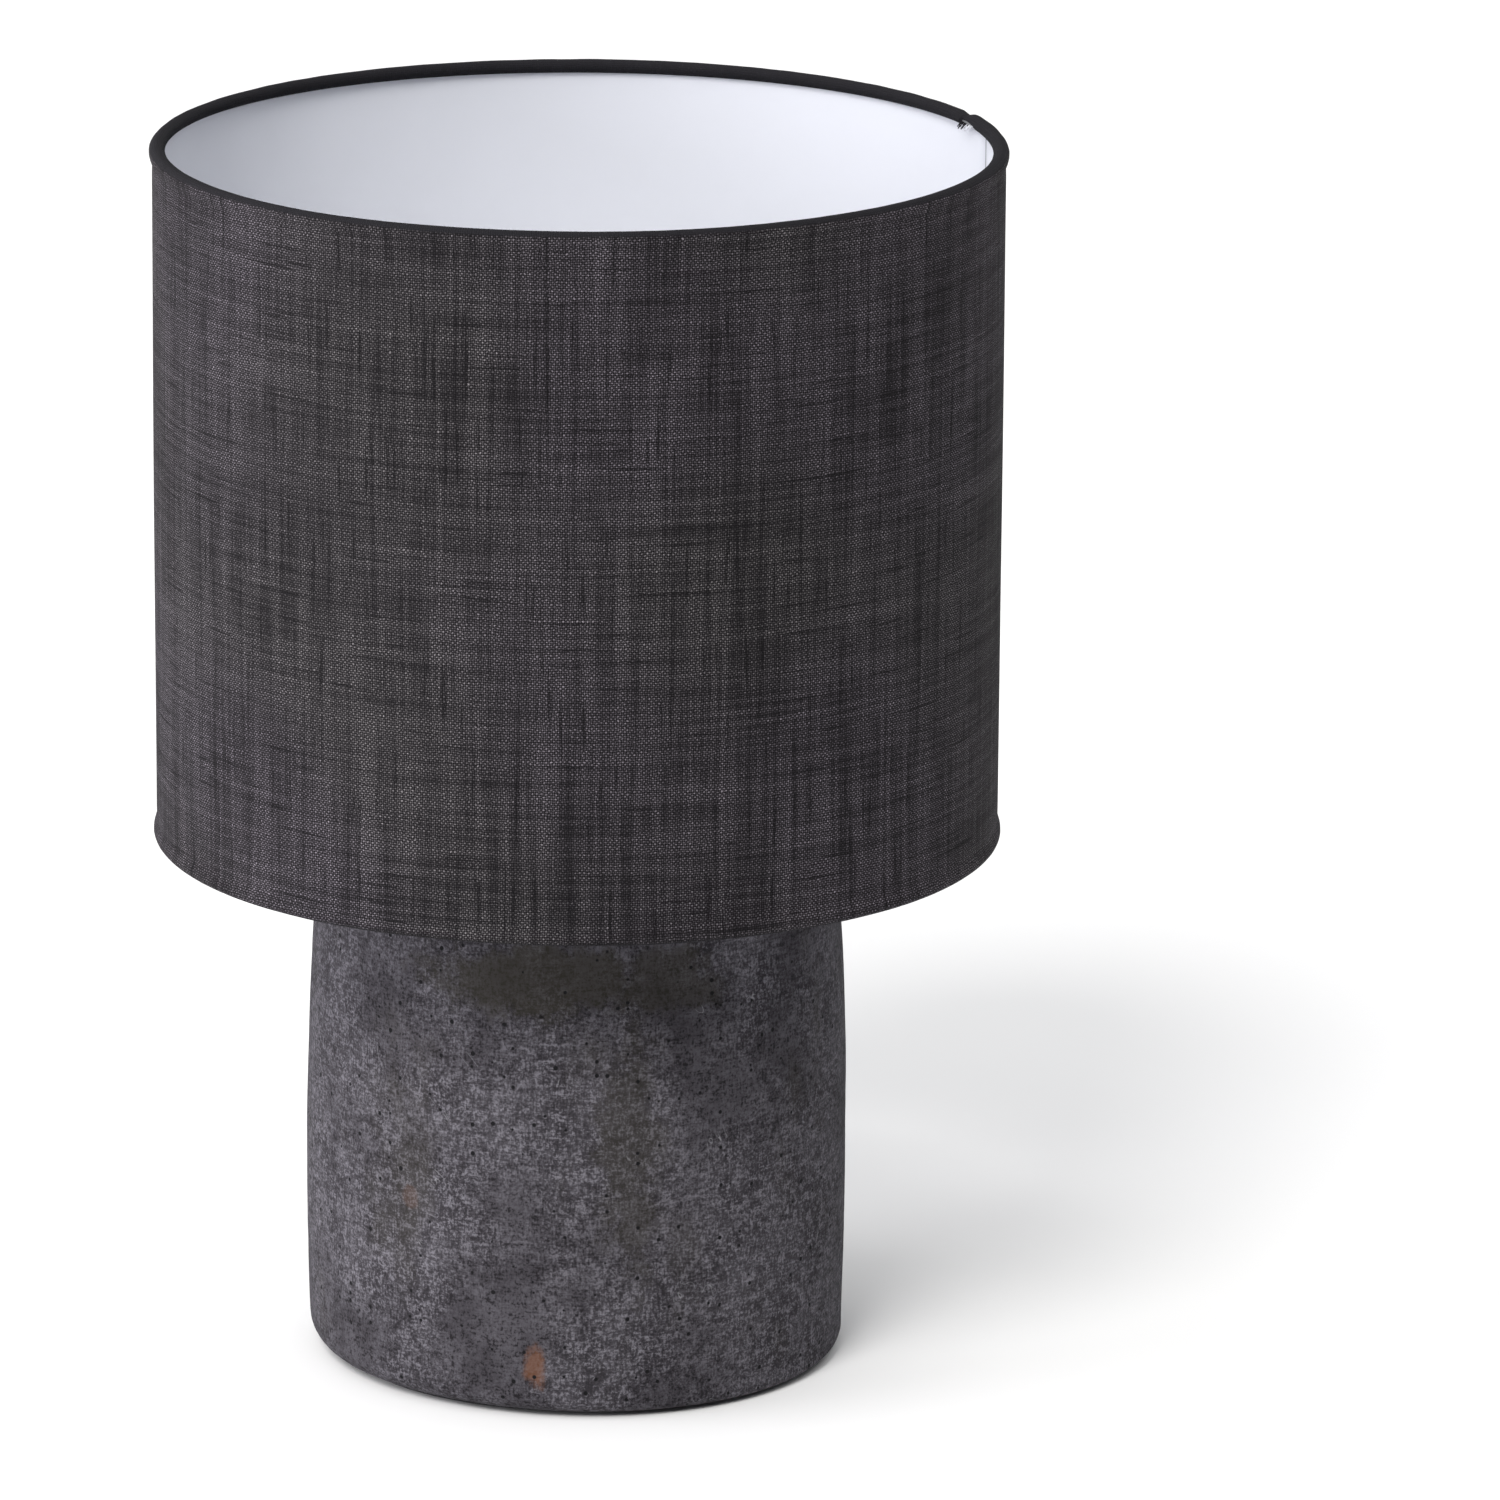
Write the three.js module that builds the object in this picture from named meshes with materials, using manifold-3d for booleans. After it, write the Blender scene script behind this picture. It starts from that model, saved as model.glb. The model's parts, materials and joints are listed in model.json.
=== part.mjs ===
// Table lamp: a linen drum shade on a cast, slightly barrel-shaped base, with an E27 lampholder
// and an LED bulb. Millimetres, +Z up. The origin is the centre of the footprint on the table.

import * as THREE from 'three';
import { mergeVertices } from 'three/addons/utils/BufferGeometryUtils.js';
import Module from 'manifold-3d';

const wasm = await Module();
wasm.setup();

// ---- Base ----
const baseHeight = 161; // table to the base's flat top
const footRadius = 80; // just above the rounded lower edge
const bellyRadius = 80.7;
const neckRadius = 77.5; // where the shoulder starts to round over
const bellyHeight = 67;
const footRounding = 8;
const shoulderRounding = 14;
const baseWall = 13;
const topWall = 10;
const cornerFill = 6; // inner shoulder's rounding is this much tighter
const footRingThickness = 1.5; // foam ring glued under the wall
const footRingInset = 0.6; // from each edge of the wall's flat underside

// ---- Cord outlet at the back ----
const outletHeight = 24;
const cordBoreRadius = 4;
const grommetWall = 1.4;
const grommetLip = 2.6; // how far both lips stand out past the hole
const grommetLipThickness = 1.8;
const lipChamfer = 1;

// ---- Tube that clamps the lampholder to the base ----
const tubeRadius = 5; // M10 x 1
const tubeBoreRadius = 3.9;
const tubeTail = 4; // below the nut
const tubeRise = 2; // over the cap's floor
const nutAcrossFlats = 14;
const nutThickness = 3;
const washerRadius = 18;
const washerThickness = 1.5;
const topWasherRadius = 21;
const topWasherThickness = 1.2;

// ---- Lampholder ----
const capNeckRadius = 9;
const capNeckHeight = 5;
const capDomeHeight = 11;
const capShoulderHeight = 3.5; // of the dome's widest bend above the neck
const capShoulderBulge = 2;
const capFloor = 7;
const capHeight = 26;
const capWall = 2;
const capRelief = 0.2; // cap's wall inside the root of the skirt's thread
const threadRadius = 19.7; // crests of the outside thread that takes the shade ring
const threadDepth = 0.5;
const threadPitch = 5.5;
const threadCount = 3;
const skirtWall = 2.3;
const sleeveWall = 2;
const sleeveDepth = 10;
const flangeWidth = 3.9; // out past the thread's crests
const flangeThickness = 2.4;
const insertThickness = 9.4;
const insertSeat = 0.4;
const terminalRadius = 2.6;
const terminalSpread = 9.5;
const terminalDepth = 3;
const contactThickness = 0.6;
const contactWidth = 5;
const contactRise = 2.2;
const sideContactHeight = 11;
const grubRadius = 1.35;
const shellHeight = 21.5;
const shellWave = 0.6;
const skirtHeight = 27; // over the contact block
const flangeLift = 2.2; // flange's underside over the skirt's inner step
const firstThread = 2; // over the flange

// ---- Bulb ----
const bulbLength = 108;
const bulbRadius = 30;
const globeWall = 1.2;
const globeSeat = 12.2; // globe's centre down to its rim
const bulbCapRadius = 13.15; // thread crests
const bulbCapDepth = 0.65;
const bulbCapHeight = 20;
const bulbCapSkirt = 5;
const bulbWaves = 3;
const sheetMetal = 0.35;
const eyeletRadius = 4.6;
const eyeletThickness = 1.6;
const insulatorHeight = 3.6;
const bulbBodyWall = 2;
const ledBoardThickness = 1.6;
const driverBoard = { width: 16, thickness: 1.2, height: 34 };

// ---- Shade ----
const shadeRadius = 125; // cloth on the wall
const shadeHeight = 209; // over both rolled edges
const shadeDrop = 3; // base's top down to the shade's lower edge
const clothThickness = 0.6;
const liningThickness = 0.5;
const ringWireRadius = 1.5;
const rollBulge = 0.9; // how far a rolled edge stands out past the wall
const tuckAngle = 250; // where the cloth ends round the wire, in degrees from the outside

// ---- Fitter and shade ring ----
const fitterWidth = 10.3; // out past the thread's crests
const fitterThickness = 1.5;
const spokeRadius = 1.5;
const spokeCount = 3;
const spokeBend = 3.5; // level stretch past the fitter's edge
const collarHeight = 9;
const collarFlangeWidth = 7.3; // out past the thread's crests
const collarFlangeThickness = 2.2;
const collarWall = 3.4;

// ---- Clearances ----
const skinGap = 0.1; // between glued sheets
const wireGap = 0.3; // cloth round a wire, and a weld's gap
const seatGap = 0.15; // between faces that rest on each other and part
const boreGap = 0.4; // a hole round a tube or screw
const slideGap = 0.25; // one thread past another
const toolReach = 10; // a cutting tool runs this far past both faces

// ---- Facets ----
const drumSides = 48;
const holderSides = 32;
const bulbSides = 28;
const smallSides = 20;
const rollSteps = 6;

// ---- Helpers ----
const quarter = Math.PI / 2;

function arc(centreR, centreZ, radius, from, to, steps) {
  const points = [];
  for (let i = 0; i <= steps; i += 1) {
    const angle = from + ((to - from) * i) / steps;
    points.push([centreR + radius * Math.cos(angle), centreZ + radius * Math.sin(angle)]);
  }
  return points;
}

// Turns an outline of [radius, height] points about Z. A ring's outline is closed here; one that
// starts and ends on the axis is already closed.
function revolve(outline, sides) {
  const area = outline.reduce((sum, [r, z], i) => {
    const [nextR, nextZ] = outline[(i + 1) % outline.length];
    return sum + r * nextZ - nextR * z;
  }, 0);
  const points = outline.map(([r, z]) => new THREE.Vector2(r, z));
  if (area < 0) points.reverse();
  const onAxis = points[0].x === 0 && points[points.length - 1].x === 0;
  if (!onAxis) points.push(points[0].clone());
  const geometry = new THREE.LatheGeometry(points, sides);
  geometry.rotateX(quarter);
  return geometry;
}

function ring(inner, outer, low, high, sides) {
  return revolve([[inner, low], [outer, low], [outer, high], [inner, high]], sides);
}

function disc(radius, low, high, sides) {
  const geometry = new THREE.CylinderGeometry(radius, radius, high - low, sides);
  geometry.rotateX(quarter);
  geometry.translate(0, 0, (low + high) / 2);
  return geometry;
}

// A cylinder between two points.
function rod(start, end, radius, sides) {
  const along = new THREE.Vector3().subVectors(end, start);
  const geometry = new THREE.CylinderGeometry(radius, radius, along.length(), sides);
  const up = new THREE.Vector3(0, 1, 0);
  const turn = new THREE.Quaternion().setFromUnitVectors(up, along.clone().normalize());
  geometry.applyQuaternion(turn);
  geometry.translate(...new THREE.Vector3().addVectors(start, end).multiplyScalar(0.5).toArray());
  return geometry;
}

function toSolid(geometry) {
  const plain = geometry.clone();
  plain.deleteAttribute('normal');
  plain.deleteAttribute('uv');
  const merged = mergeVertices(plain, 1e-4);
  return new wasm.Manifold(new wasm.Mesh({
    numProp: 3,
    vertProperties: new Float32Array(merged.attributes.position.array),
    triVerts: new Uint32Array(merged.index.array),
  }));
}

function toGeometry(solid) {
  const mesh = solid.getMesh();
  const result = new THREE.BufferGeometry();
  result.setAttribute('position', new THREE.BufferAttribute(mesh.vertProperties, 3));
  result.setIndex(new THREE.BufferAttribute(mesh.triVerts, 1));
  result.computeVertexNormals();
  return result;
}

function cut(geometry, tools) {
  let solid = toSolid(geometry);
  for (const tool of tools) solid = solid.subtract(toSolid(tool));
  return toGeometry(solid);
}

function polar(radius, angle, height) {
  return new THREE.Vector3(radius * Math.cos(angle), radius * Math.sin(angle), height);
}

// ---- Materials ----
function material(color, roughness, metalness) {
  return new THREE.MeshStandardMaterial({ color, roughness, metalness });
}
const concrete = material(0x57545a, 0.95, 0);
const linen = material(0x3c393d, 0.95, 0);
const lining = material(0xe4e6ee, 0.5, 0);
const steel = material(0xb9bcc0, 0.35, 1);
const whiteSteel = material(0xe6e6e3, 0.4, 0.2);
const brass = material(0xc8a55a, 0.3, 1);
const blackPlastic = material(0x1b1b1d, 0.45, 0);
const ceramic = material(0xe9e6dd, 0.4, 0);
const rubber = material(0x202022, 0.8, 0);
const opal = material(0xf6f4ee, 0.35, 0);
const bulbPlastic = material(0xf0f0ee, 0.45, 0);
const boardGreen = material(0x2d5b3c, 0.5, 0);

const lamp = new THREE.Group();

function add(name, geometry, surface) {
  const mesh = new THREE.Mesh(geometry, surface);
  mesh.name = name;
  lamp.add(mesh);
}

// ---- Base shell: hollow and open below ----
const baseBottom = footRingThickness;
const shoulderZ = baseHeight - shoulderRounding;

function sideRadius(z) {
  const low = z < bellyHeight;
  const edge = low ? footRadius : neckRadius;
  const span = low ? bellyHeight - baseBottom - footRounding : shoulderZ - bellyHeight;
  return bellyRadius - (bellyRadius - edge) * ((z - bellyHeight) / span) ** 2;
}

function sidePoints(inset, low, high, steps) {
  const points = [];
  for (let i = 1; i < steps; i += 1) {
    const z = low + ((high - low) * i) / steps;
    points.push([sideRadius(z) - inset, z]);
  }
  return points;
}

const footCentreZ = baseBottom + footRounding;
const innerShoulder = shoulderRounding - cornerFill;
const cavityTop = baseHeight - topWall;
const innerFootR = footRadius - baseWall;
const flatEdgeR = footRadius - footRounding;
const innerNeckR = neckRadius - baseWall;
const innerNeckZ = cavityTop - innerShoulder;
const baseOutline = [
  [innerFootR, baseBottom],
  ...arc(flatEdgeR, footCentreZ, footRounding, -quarter, 0, 3),
  ...sidePoints(0, footCentreZ, shoulderZ, 6),
  ...arc(neckRadius - shoulderRounding, shoulderZ, shoulderRounding, 0, quarter, 4),
  [tubeRadius + boreGap, baseHeight],
  [tubeRadius + boreGap, cavityTop],
  ...arc(innerNeckR - innerShoulder, innerNeckZ, innerShoulder, quarter, 0, 2),
  ...sidePoints(baseWall, innerNeckZ, baseBottom, 3),
];
const grommetRadius = cordBoreRadius + grommetWall;
const outletInside = new THREE.Vector3(0, innerFootR - toolReach, outletHeight);
const outletOutside = new THREE.Vector3(0, bellyRadius + toolReach, outletHeight);
const outletHole = rod(outletInside, outletOutside, grommetRadius + boreGap, smallSides);
add('base_shell', cut(revolve(baseOutline, drumSides), [outletHole]), concrete);

add(
  'foot_ring',
  ring(innerFootR + footRingInset, flatEdgeR - footRingInset, 0, footRingThickness, drumSides),
  rubber,
);

// ---- Grommet: a lipped sleeve through the wall, turned to face +Y ----
const lipRadius = grommetRadius + grommetLip;
const wallOuterY = sideRadius(outletHeight) + seatGap;
const wallInnerY = Math.sqrt((wallOuterY - seatGap - baseWall) ** 2 - lipRadius ** 2) - wireGap;
const grommet = revolve([
  [cordBoreRadius, wallInnerY - grommetLipThickness],
  [lipRadius - lipChamfer, wallInnerY - grommetLipThickness],
  [lipRadius, wallInnerY],
  [grommetRadius, wallInnerY],
  [grommetRadius, wallOuterY],
  [lipRadius, wallOuterY],
  [lipRadius - lipChamfer, wallOuterY + grommetLipThickness],
  [cordBoreRadius, wallOuterY + grommetLipThickness],
], smallSides);
grommet.rotateX(-quarter);
grommet.translate(0, 0, outletHeight);
add('cord_grommet', grommet, rubber);

// ---- Tube, nut and washers ----
const washerLow = cavityTop - washerThickness;
const nutLow = washerLow - nutThickness;
const holderZ = baseHeight + topWasherThickness;
const capFloorZ = holderZ + capFloor;
const tubeTop = capFloorZ + tubeRise;
add('threaded_tube', ring(tubeBoreRadius, tubeRadius, nutLow - tubeTail, tubeTop, smallSides), steel);
add('lower_washer', ring(tubeRadius + boreGap, washerRadius, washerLow, cavityTop, smallSides), steel);
add('top_washer', ring(tubeRadius + boreGap, topWasherRadius, baseHeight, holderZ, holderSides), steel);

const hexagon = new THREE.Shape();
for (let i = 0; i < 6; i += 1) {
  const corner = polar(nutAcrossFlats / Math.sqrt(3), (i * Math.PI) / 3, 0);
  if (i === 0) hexagon.moveTo(corner.x, corner.y);
  else hexagon.lineTo(corner.x, corner.y);
}
hexagon.closePath();
const nutHole = new THREE.Path();
nutHole.absarc(0, 0, tubeRadius + boreGap, 0, 2 * Math.PI, true);
hexagon.holes.push(nutHole);
const nut = new THREE.ExtrudeGeometry(hexagon, {
  depth: nutThickness,
  bevelEnabled: false,
  curveSegments: smallSides / 2,
});
nut.translate(0, 0, nutLow);
add('lock_nut', nut, steel);

// ---- Lampholder cap: a domed cup on the tube, with a grub screw that locks it ----
const capTop = holderZ + capHeight;
const skirtInnerR = threadRadius - threadDepth - skirtWall;
const capOuterR = threadRadius - threadDepth - capRelief;
const capInnerR = capOuterR - capWall;
const domeZ = holderZ + capNeckHeight + capDomeHeight;
const capOutline = [
  [tubeRadius + boreGap, holderZ],
  [capNeckRadius, holderZ],
  [capNeckRadius, holderZ + capNeckHeight],
  [(capNeckRadius + capOuterR) / 2 + capShoulderBulge, holderZ + capNeckHeight + capShoulderHeight],
  [capOuterR, domeZ],
  [capOuterR, capTop],
  [capInnerR, capTop],
  [capInnerR, domeZ],
  [(capNeckRadius + capInnerR) / 2, capFloorZ],
  [tubeRadius + boreGap, capFloorZ],
];
const grubZ = holderZ + capNeckHeight / 2;
const grubHole = rod(
  new THREE.Vector3(tubeRadius, 0, grubZ),
  new THREE.Vector3(capNeckRadius + toolReach, 0, grubZ),
  grubRadius + slideGap,
  16,
);
add('holder_cap', cut(revolve(capOutline, holderSides), [grubHole]), blackPlastic);
const grub = rod(
  new THREE.Vector3(tubeRadius + seatGap, 0, grubZ),
  new THREE.Vector3(capNeckRadius - wireGap, 0, grubZ),
  grubRadius,
  12,
);
add('cap_grub_screw', grub, steel);

// ---- Contact block in the cap, with its terminals and contacts ----
const insertTop = capTop + insertSeat;
const insertLow = insertTop - insertThickness;
const block = disc(capInnerR - boreGap, insertLow, insertTop, holderSides);
const screwHoles = [-1, 1].map((side) => rod(
  new THREE.Vector3(side * terminalSpread, 0, insertLow - toolReach),
  new THREE.Vector3(side * terminalSpread, 0, insertLow + terminalDepth),
  terminalRadius + boreGap,
  16,
));
add('contact_block', cut(block, screwHoles), ceramic);
[['live_terminal_screw', -1], ['neutral_terminal_screw', 1]].forEach(([name, side]) => {
  const screw = disc(terminalRadius, insertLow + wireGap, insertLow + terminalDepth - seatGap, 16);
  screw.translate(side * terminalSpread, 0, 0);
  add(name, screw, brass);
});

const shellRadius = bulbCapRadius + slideGap; // inside, at its narrowest
const eyeletZ = insertTop + seatGap + contactRise + seatGap;
const tongue = new THREE.Shape();
tongue.moveTo(-eyeletRadius - 2, 0);
tongue.lineTo(-1, 0);
tongue.lineTo(2, contactRise - contactThickness);
tongue.lineTo(eyeletRadius, contactRise - contactThickness);
tongue.lineTo(eyeletRadius, contactRise);
tongue.lineTo(1.7, contactRise);
tongue.lineTo(-1.3, contactThickness);
tongue.lineTo(-eyeletRadius - 2, contactThickness);
tongue.closePath();
const centreContact = new THREE.ExtrudeGeometry(tongue, { depth: contactWidth, bevelEnabled: false });
centreContact.rotateX(quarter);
centreContact.translate(0, contactWidth / 2, insertTop + seatGap);
add('centre_contact', centreContact, brass);

const shellOuterR = shellRadius + shellWave + sheetMetal;
const sideContact = new THREE.BoxGeometry(contactThickness, contactWidth, sideContactHeight);
const sideContactX = shellOuterR + wireGap + contactThickness / 2;
sideContact.translate(sideContactX, 0, insertTop + seatGap + sideContactHeight / 2);
add('side_contact', sideContact, brass);

// ---- Screw shell and bulb cap: thin tubes with waves for their threads ----
function wavyTube(radius, wave, wall, low, high, waves, sides) {
  const step = (high - low) / (2 * waves);
  const inner = [];
  for (let i = 0; i <= 2 * waves; i += 1) {
    inner.push([radius + (i % 2) * wave, low + i * step]);
  }
  const outer = inner.map(([r, z]) => [r + wall, z]).reverse();
  return revolve([...inner, ...outer], sides);
}

const skirtTop = insertTop + skirtHeight;
const shellLow = insertTop + seatGap;
const shellTop = shellLow + shellHeight;
add(
  'screw_shell',
  wavyTube(shellRadius, shellWave, sheetMetal, shellLow, shellTop, bulbWaves, bulbSides),
  brass,
);

// ---- Skirt: a sleeve over the cap, a flange for the fitter, and the outside thread ----
const sleeveR = capOuterR + boreGap;
const flangeRadius = threadRadius + flangeWidth;
const stepZ = insertTop + seatGap;
const flangeZ = stepZ + flangeLift;
const seatZ = flangeZ + flangeThickness;
const threads = [];
for (let i = 0; i < threadCount; i += 1) {
  const z = seatZ + firstThread + i * threadPitch;
  threads.push([threadRadius - threadDepth, z]);
  threads.push([threadRadius, z + threadPitch / 4]);
  threads.push([threadRadius - threadDepth, z + threadPitch / 2]);
}
const skirtOutline = [
  [sleeveR, stepZ - sleeveDepth],
  [sleeveR + sleeveWall, stepZ - sleeveDepth],
  [sleeveR + sleeveWall, flangeZ],
  [flangeRadius, flangeZ],
  [flangeRadius, seatZ],
  [threadRadius - threadDepth, seatZ],
  ...threads,
  [threadRadius - threadDepth, skirtTop],
  [skirtInnerR, skirtTop],
  [skirtInnerR, stepZ],
  [sleeveR, stepZ],
];
add('holder_skirt', revolve(skirtOutline, holderSides), blackPlastic);

// ---- Bulb ----
const eyeletTop = eyeletZ + eyeletThickness;
const capMetalR = bulbCapRadius - bulbCapDepth - sheetMetal;
const bulbCapLow = eyeletTop + insulatorHeight;
const bulbCapTop = bulbCapLow + bulbCapHeight;
add('bulb_contact', disc(eyeletRadius, eyeletZ, eyeletTop - skinGap, smallSides), brass);
add('bulb_insulator', revolve([
  [0, eyeletTop],
  [eyeletRadius + 0.4, eyeletTop],
  [capMetalR + sheetMetal, bulbCapLow - skinGap],
  [0, bulbCapLow - skinGap],
], smallSides), blackPlastic);
const capTurns = wavyTube(
  capMetalR,
  bulbCapDepth,
  sheetMetal,
  bulbCapLow,
  bulbCapTop - bulbCapSkirt,
  bulbWaves,
  bulbSides,
);
const capSkirt = ring(
  capMetalR,
  capMetalR + sheetMetal,
  bulbCapTop - bulbCapSkirt - 0.5,
  bulbCapTop,
  bulbSides,
);
add('bulb_cap', toGeometry(toSolid(capTurns).add(toSolid(capSkirt))), steel);

const bulbTop = eyeletZ + bulbLength;
const globeZ = bulbTop - bulbRadius;
const globeLow = globeZ - globeSeat;
const rimAngle = -Math.asin(globeSeat / bulbRadius);
const innerGlobe = bulbRadius - globeWall;
const innerRimAngle = -Math.asin(globeSeat / innerGlobe);
const globeOuter = arc(0, globeZ, bulbRadius, rimAngle, quarter, 8);
const globeInner = arc(0, globeZ, innerGlobe, quarter, innerRimAngle, 7);
globeOuter[8][0] = 0;
globeInner[0][0] = 0;
add('bulb_globe', revolve([...globeInner, ...globeOuter], bulbSides), opal);

// The body's outline is a quarter of an S from the bulb's cap to the globe's rim.
const bodyTop = globeLow - seatGap;
const bodyLow = bulbCapTop + seatGap;
const bodyNeckR = bulbCapRadius + 0.8;
const bodyRimR = bulbRadius * Math.cos(rimAngle);
const boardSeat = ledBoardThickness + 0.6;
const bodySteps = 5;
const bodyOuter = [];
for (let i = 0; i <= bodySteps; i += 1) {
  const share = i / bodySteps;
  const swell = Math.sin(share * quarter);
  bodyOuter.push([bodyNeckR + (bodyRimR - bodyNeckR) * swell, bodyLow + (bodyTop - bodyLow) * share]);
}
const spigotR = capMetalR - boreGap;
const bodyOutline = [
  [spigotR - bulbBodyWall, bodyLow - bulbCapSkirt],
  [spigotR, bodyLow - bulbCapSkirt],
  [spigotR, bodyLow],
  ...bodyOuter,
  [bodyRimR - bulbBodyWall, bodyTop],
  [bodyRimR - bulbBodyWall, bodyTop - boardSeat],
  [bodyRimR - bulbBodyWall - 2, bodyTop - boardSeat],
  [(bodyRimR + bodyNeckR) / 2 - bulbBodyWall, bodyLow + (bodyTop - bodyLow) * 0.35],
  [spigotR - bulbBodyWall, bodyLow + 2],
];
add('bulb_body', revolve(bodyOutline, bulbSides), bulbPlastic);
const boardR = bodyRimR - bulbBodyWall - boreGap;
const boardLow = bodyTop - boardSeat + seatGap;
add('led_board', disc(boardR, boardLow, boardLow + ledBoardThickness, bulbSides), boardGreen);
const driver = new THREE.BoxGeometry(driverBoard.width, driverBoard.thickness, driverBoard.height);
driver.translate(0, 0, bodyLow - bulbCapSkirt + 1 + driverBoard.height / 2);
add('driver_board', driver, boardGreen);

// ---- Shade: linen glued to a stiff lining, its edges rolled round two wire rings ----
const shadeLow = baseHeight - shadeDrop;
const shadeTop = shadeLow + shadeHeight;
const rollInner = ringWireRadius + wireGap;
const rollRadius = rollInner + clothThickness;
const rollR = shadeRadius + rollBulge - rollRadius;
const clothInnerR = shadeRadius - clothThickness;
const liningOuterR = clothInnerR - skinGap;
const liningInnerR = liningOuterR - liningThickness;

// One rolled edge: up the wall, round the wire to where the cloth is tucked in, then back.
function rolledEdge(centreZ, up) {
  const tuck = THREE.MathUtils.degToRad(tuckAngle);
  const wallAngle = (radius, wallR) => -Math.acos((wallR - rollR) / radius);
  const outside = arc(rollR, 0, rollRadius, wallAngle(rollRadius, shadeRadius), tuck, rollSteps);
  const inside = arc(rollR, 0, rollInner, tuck, wallAngle(rollInner, clothInnerR), rollSteps);
  return [...outside, ...inside].map(([r, z]) => [r, centreZ + up * z]);
}

const topRollZ = shadeTop - rollRadius;
const lowRollZ = shadeLow + rollRadius;
const coverOutline = [...rolledEdge(topRollZ, 1), ...rolledEdge(lowRollZ, -1).reverse()];

const fitterLow = seatZ + seatGap;
const fitterTop = fitterLow + fitterThickness;
const spokeZ = fitterLow - spokeRadius - skinGap;
const fitterRadius = threadRadius + fitterWidth;
const bendR = fitterRadius + spokeBend;
const slope = Math.atan2(spokeZ - lowRollZ, rollR - bendR);
const spokeAngle = (i) => quarter + (i * 2 * Math.PI) / spokeCount;

// A point on a spoke's straight stretch, this far short of the centre of the lower wire.
function onSpoke(angle, short) {
  return polar(rollR - short * Math.cos(slope), angle, lowRollZ + short * Math.sin(slope));
}

const slits = [];
for (let i = 0; i < spokeCount; i += 1) {
  const angle = spokeAngle(i);
  slits.push(rod(onSpoke(angle, 0), onSpoke(angle, 8), spokeRadius + wireGap, 12));
}
add('shade_cover', cut(revolve(coverOutline, drumSides), slits), linen);

const liningEnd = ringWireRadius + boreGap;
add(
  'shade_lining',
  ring(liningInnerR, liningOuterR, lowRollZ + liningEnd, topRollZ - liningEnd, drumSides),
  lining,
);
[['top_wire_ring', topRollZ], ['lower_wire_ring', lowRollZ]].forEach(([name, z]) => {
  const section = arc(rollR, z, ringWireRadius, 0, 2 * Math.PI, 6).slice(0, 6);
  add(name, revolve(section, drumSides), steel);
});

// ---- Fitter: a flat ring on three spokes that rise from the lower wire ----
const fitterHole = threadRadius + slideGap * 2;
add('fitter_ring', ring(fitterHole, fitterRadius, fitterLow, fitterTop, holderSides), whiteSteel);
const wireSection = new THREE.Shape();
wireSection.absarc(0, 0, spokeRadius, 0, 2 * Math.PI, false);
for (let i = 0; i < spokeCount; i += 1) {
  const angle = spokeAngle(i);
  const path = new THREE.CurvePath();
  const inner = polar(flangeRadius + 1, angle, spokeZ);
  const level = polar(bendR - 2, angle, spokeZ);
  const corner = polar(bendR, angle, spokeZ);
  const reach = (rollR - bendR) / Math.cos(slope);
  const falling = onSpoke(angle, reach - 2);
  path.add(new THREE.LineCurve3(inner, level));
  path.add(new THREE.QuadraticBezierCurve3(level, corner, falling));
  path.add(new THREE.LineCurve3(falling, onSpoke(angle, ringWireRadius + wireGap)));
  const spoke = new THREE.ExtrudeGeometry(wireSection, {
    steps: 9,
    curveSegments: 3,
    bevelEnabled: false,
    extrudePath: path,
  });
  add(`fitter_spoke_${i + 1}`, spoke, whiteSteel);
}

// ---- Shade ring: screws down on the skirt and clamps the fitter ----
const collarLow = fitterTop + seatGap;
const collarInner = threadRadius + slideGap;
const collarFlangeRadius = threadRadius + collarFlangeWidth;
const collarTop = collarLow + collarHeight;
const collarGrooves = [];
for (let z = collarTop - 1.5; z > collarLow + 2.5; z -= threadPitch / 2) {
  collarGrooves.push([collarInner, z]);
  collarGrooves.push([collarInner + threadDepth, z - threadPitch / 4]);
}
add('shade_ring', revolve([
  [collarInner, collarLow],
  [collarFlangeRadius, collarLow],
  [collarFlangeRadius, collarLow + collarFlangeThickness],
  [collarInner + collarWall, collarLow + collarFlangeThickness + 1],
  [collarInner + collarWall, collarTop],
  [collarInner, collarTop],
  ...collarGrooves,
], holderSides), blackPlastic);

export default lamp;
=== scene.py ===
"""A table lamp with a linen drum shade on a cast base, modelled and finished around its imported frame.

The file is laid out as an add-on: sizes and colours are scene properties, each piece or group of like
pieces has an operator, and the panel in the 3D view's sidebar lists them in the order they are used.
"""

import json
import math

import bpy
from bpy.props import FloatProperty, FloatVectorProperty, IntProperty, PointerProperty
from mathutils import Matrix, Vector, noise


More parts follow.
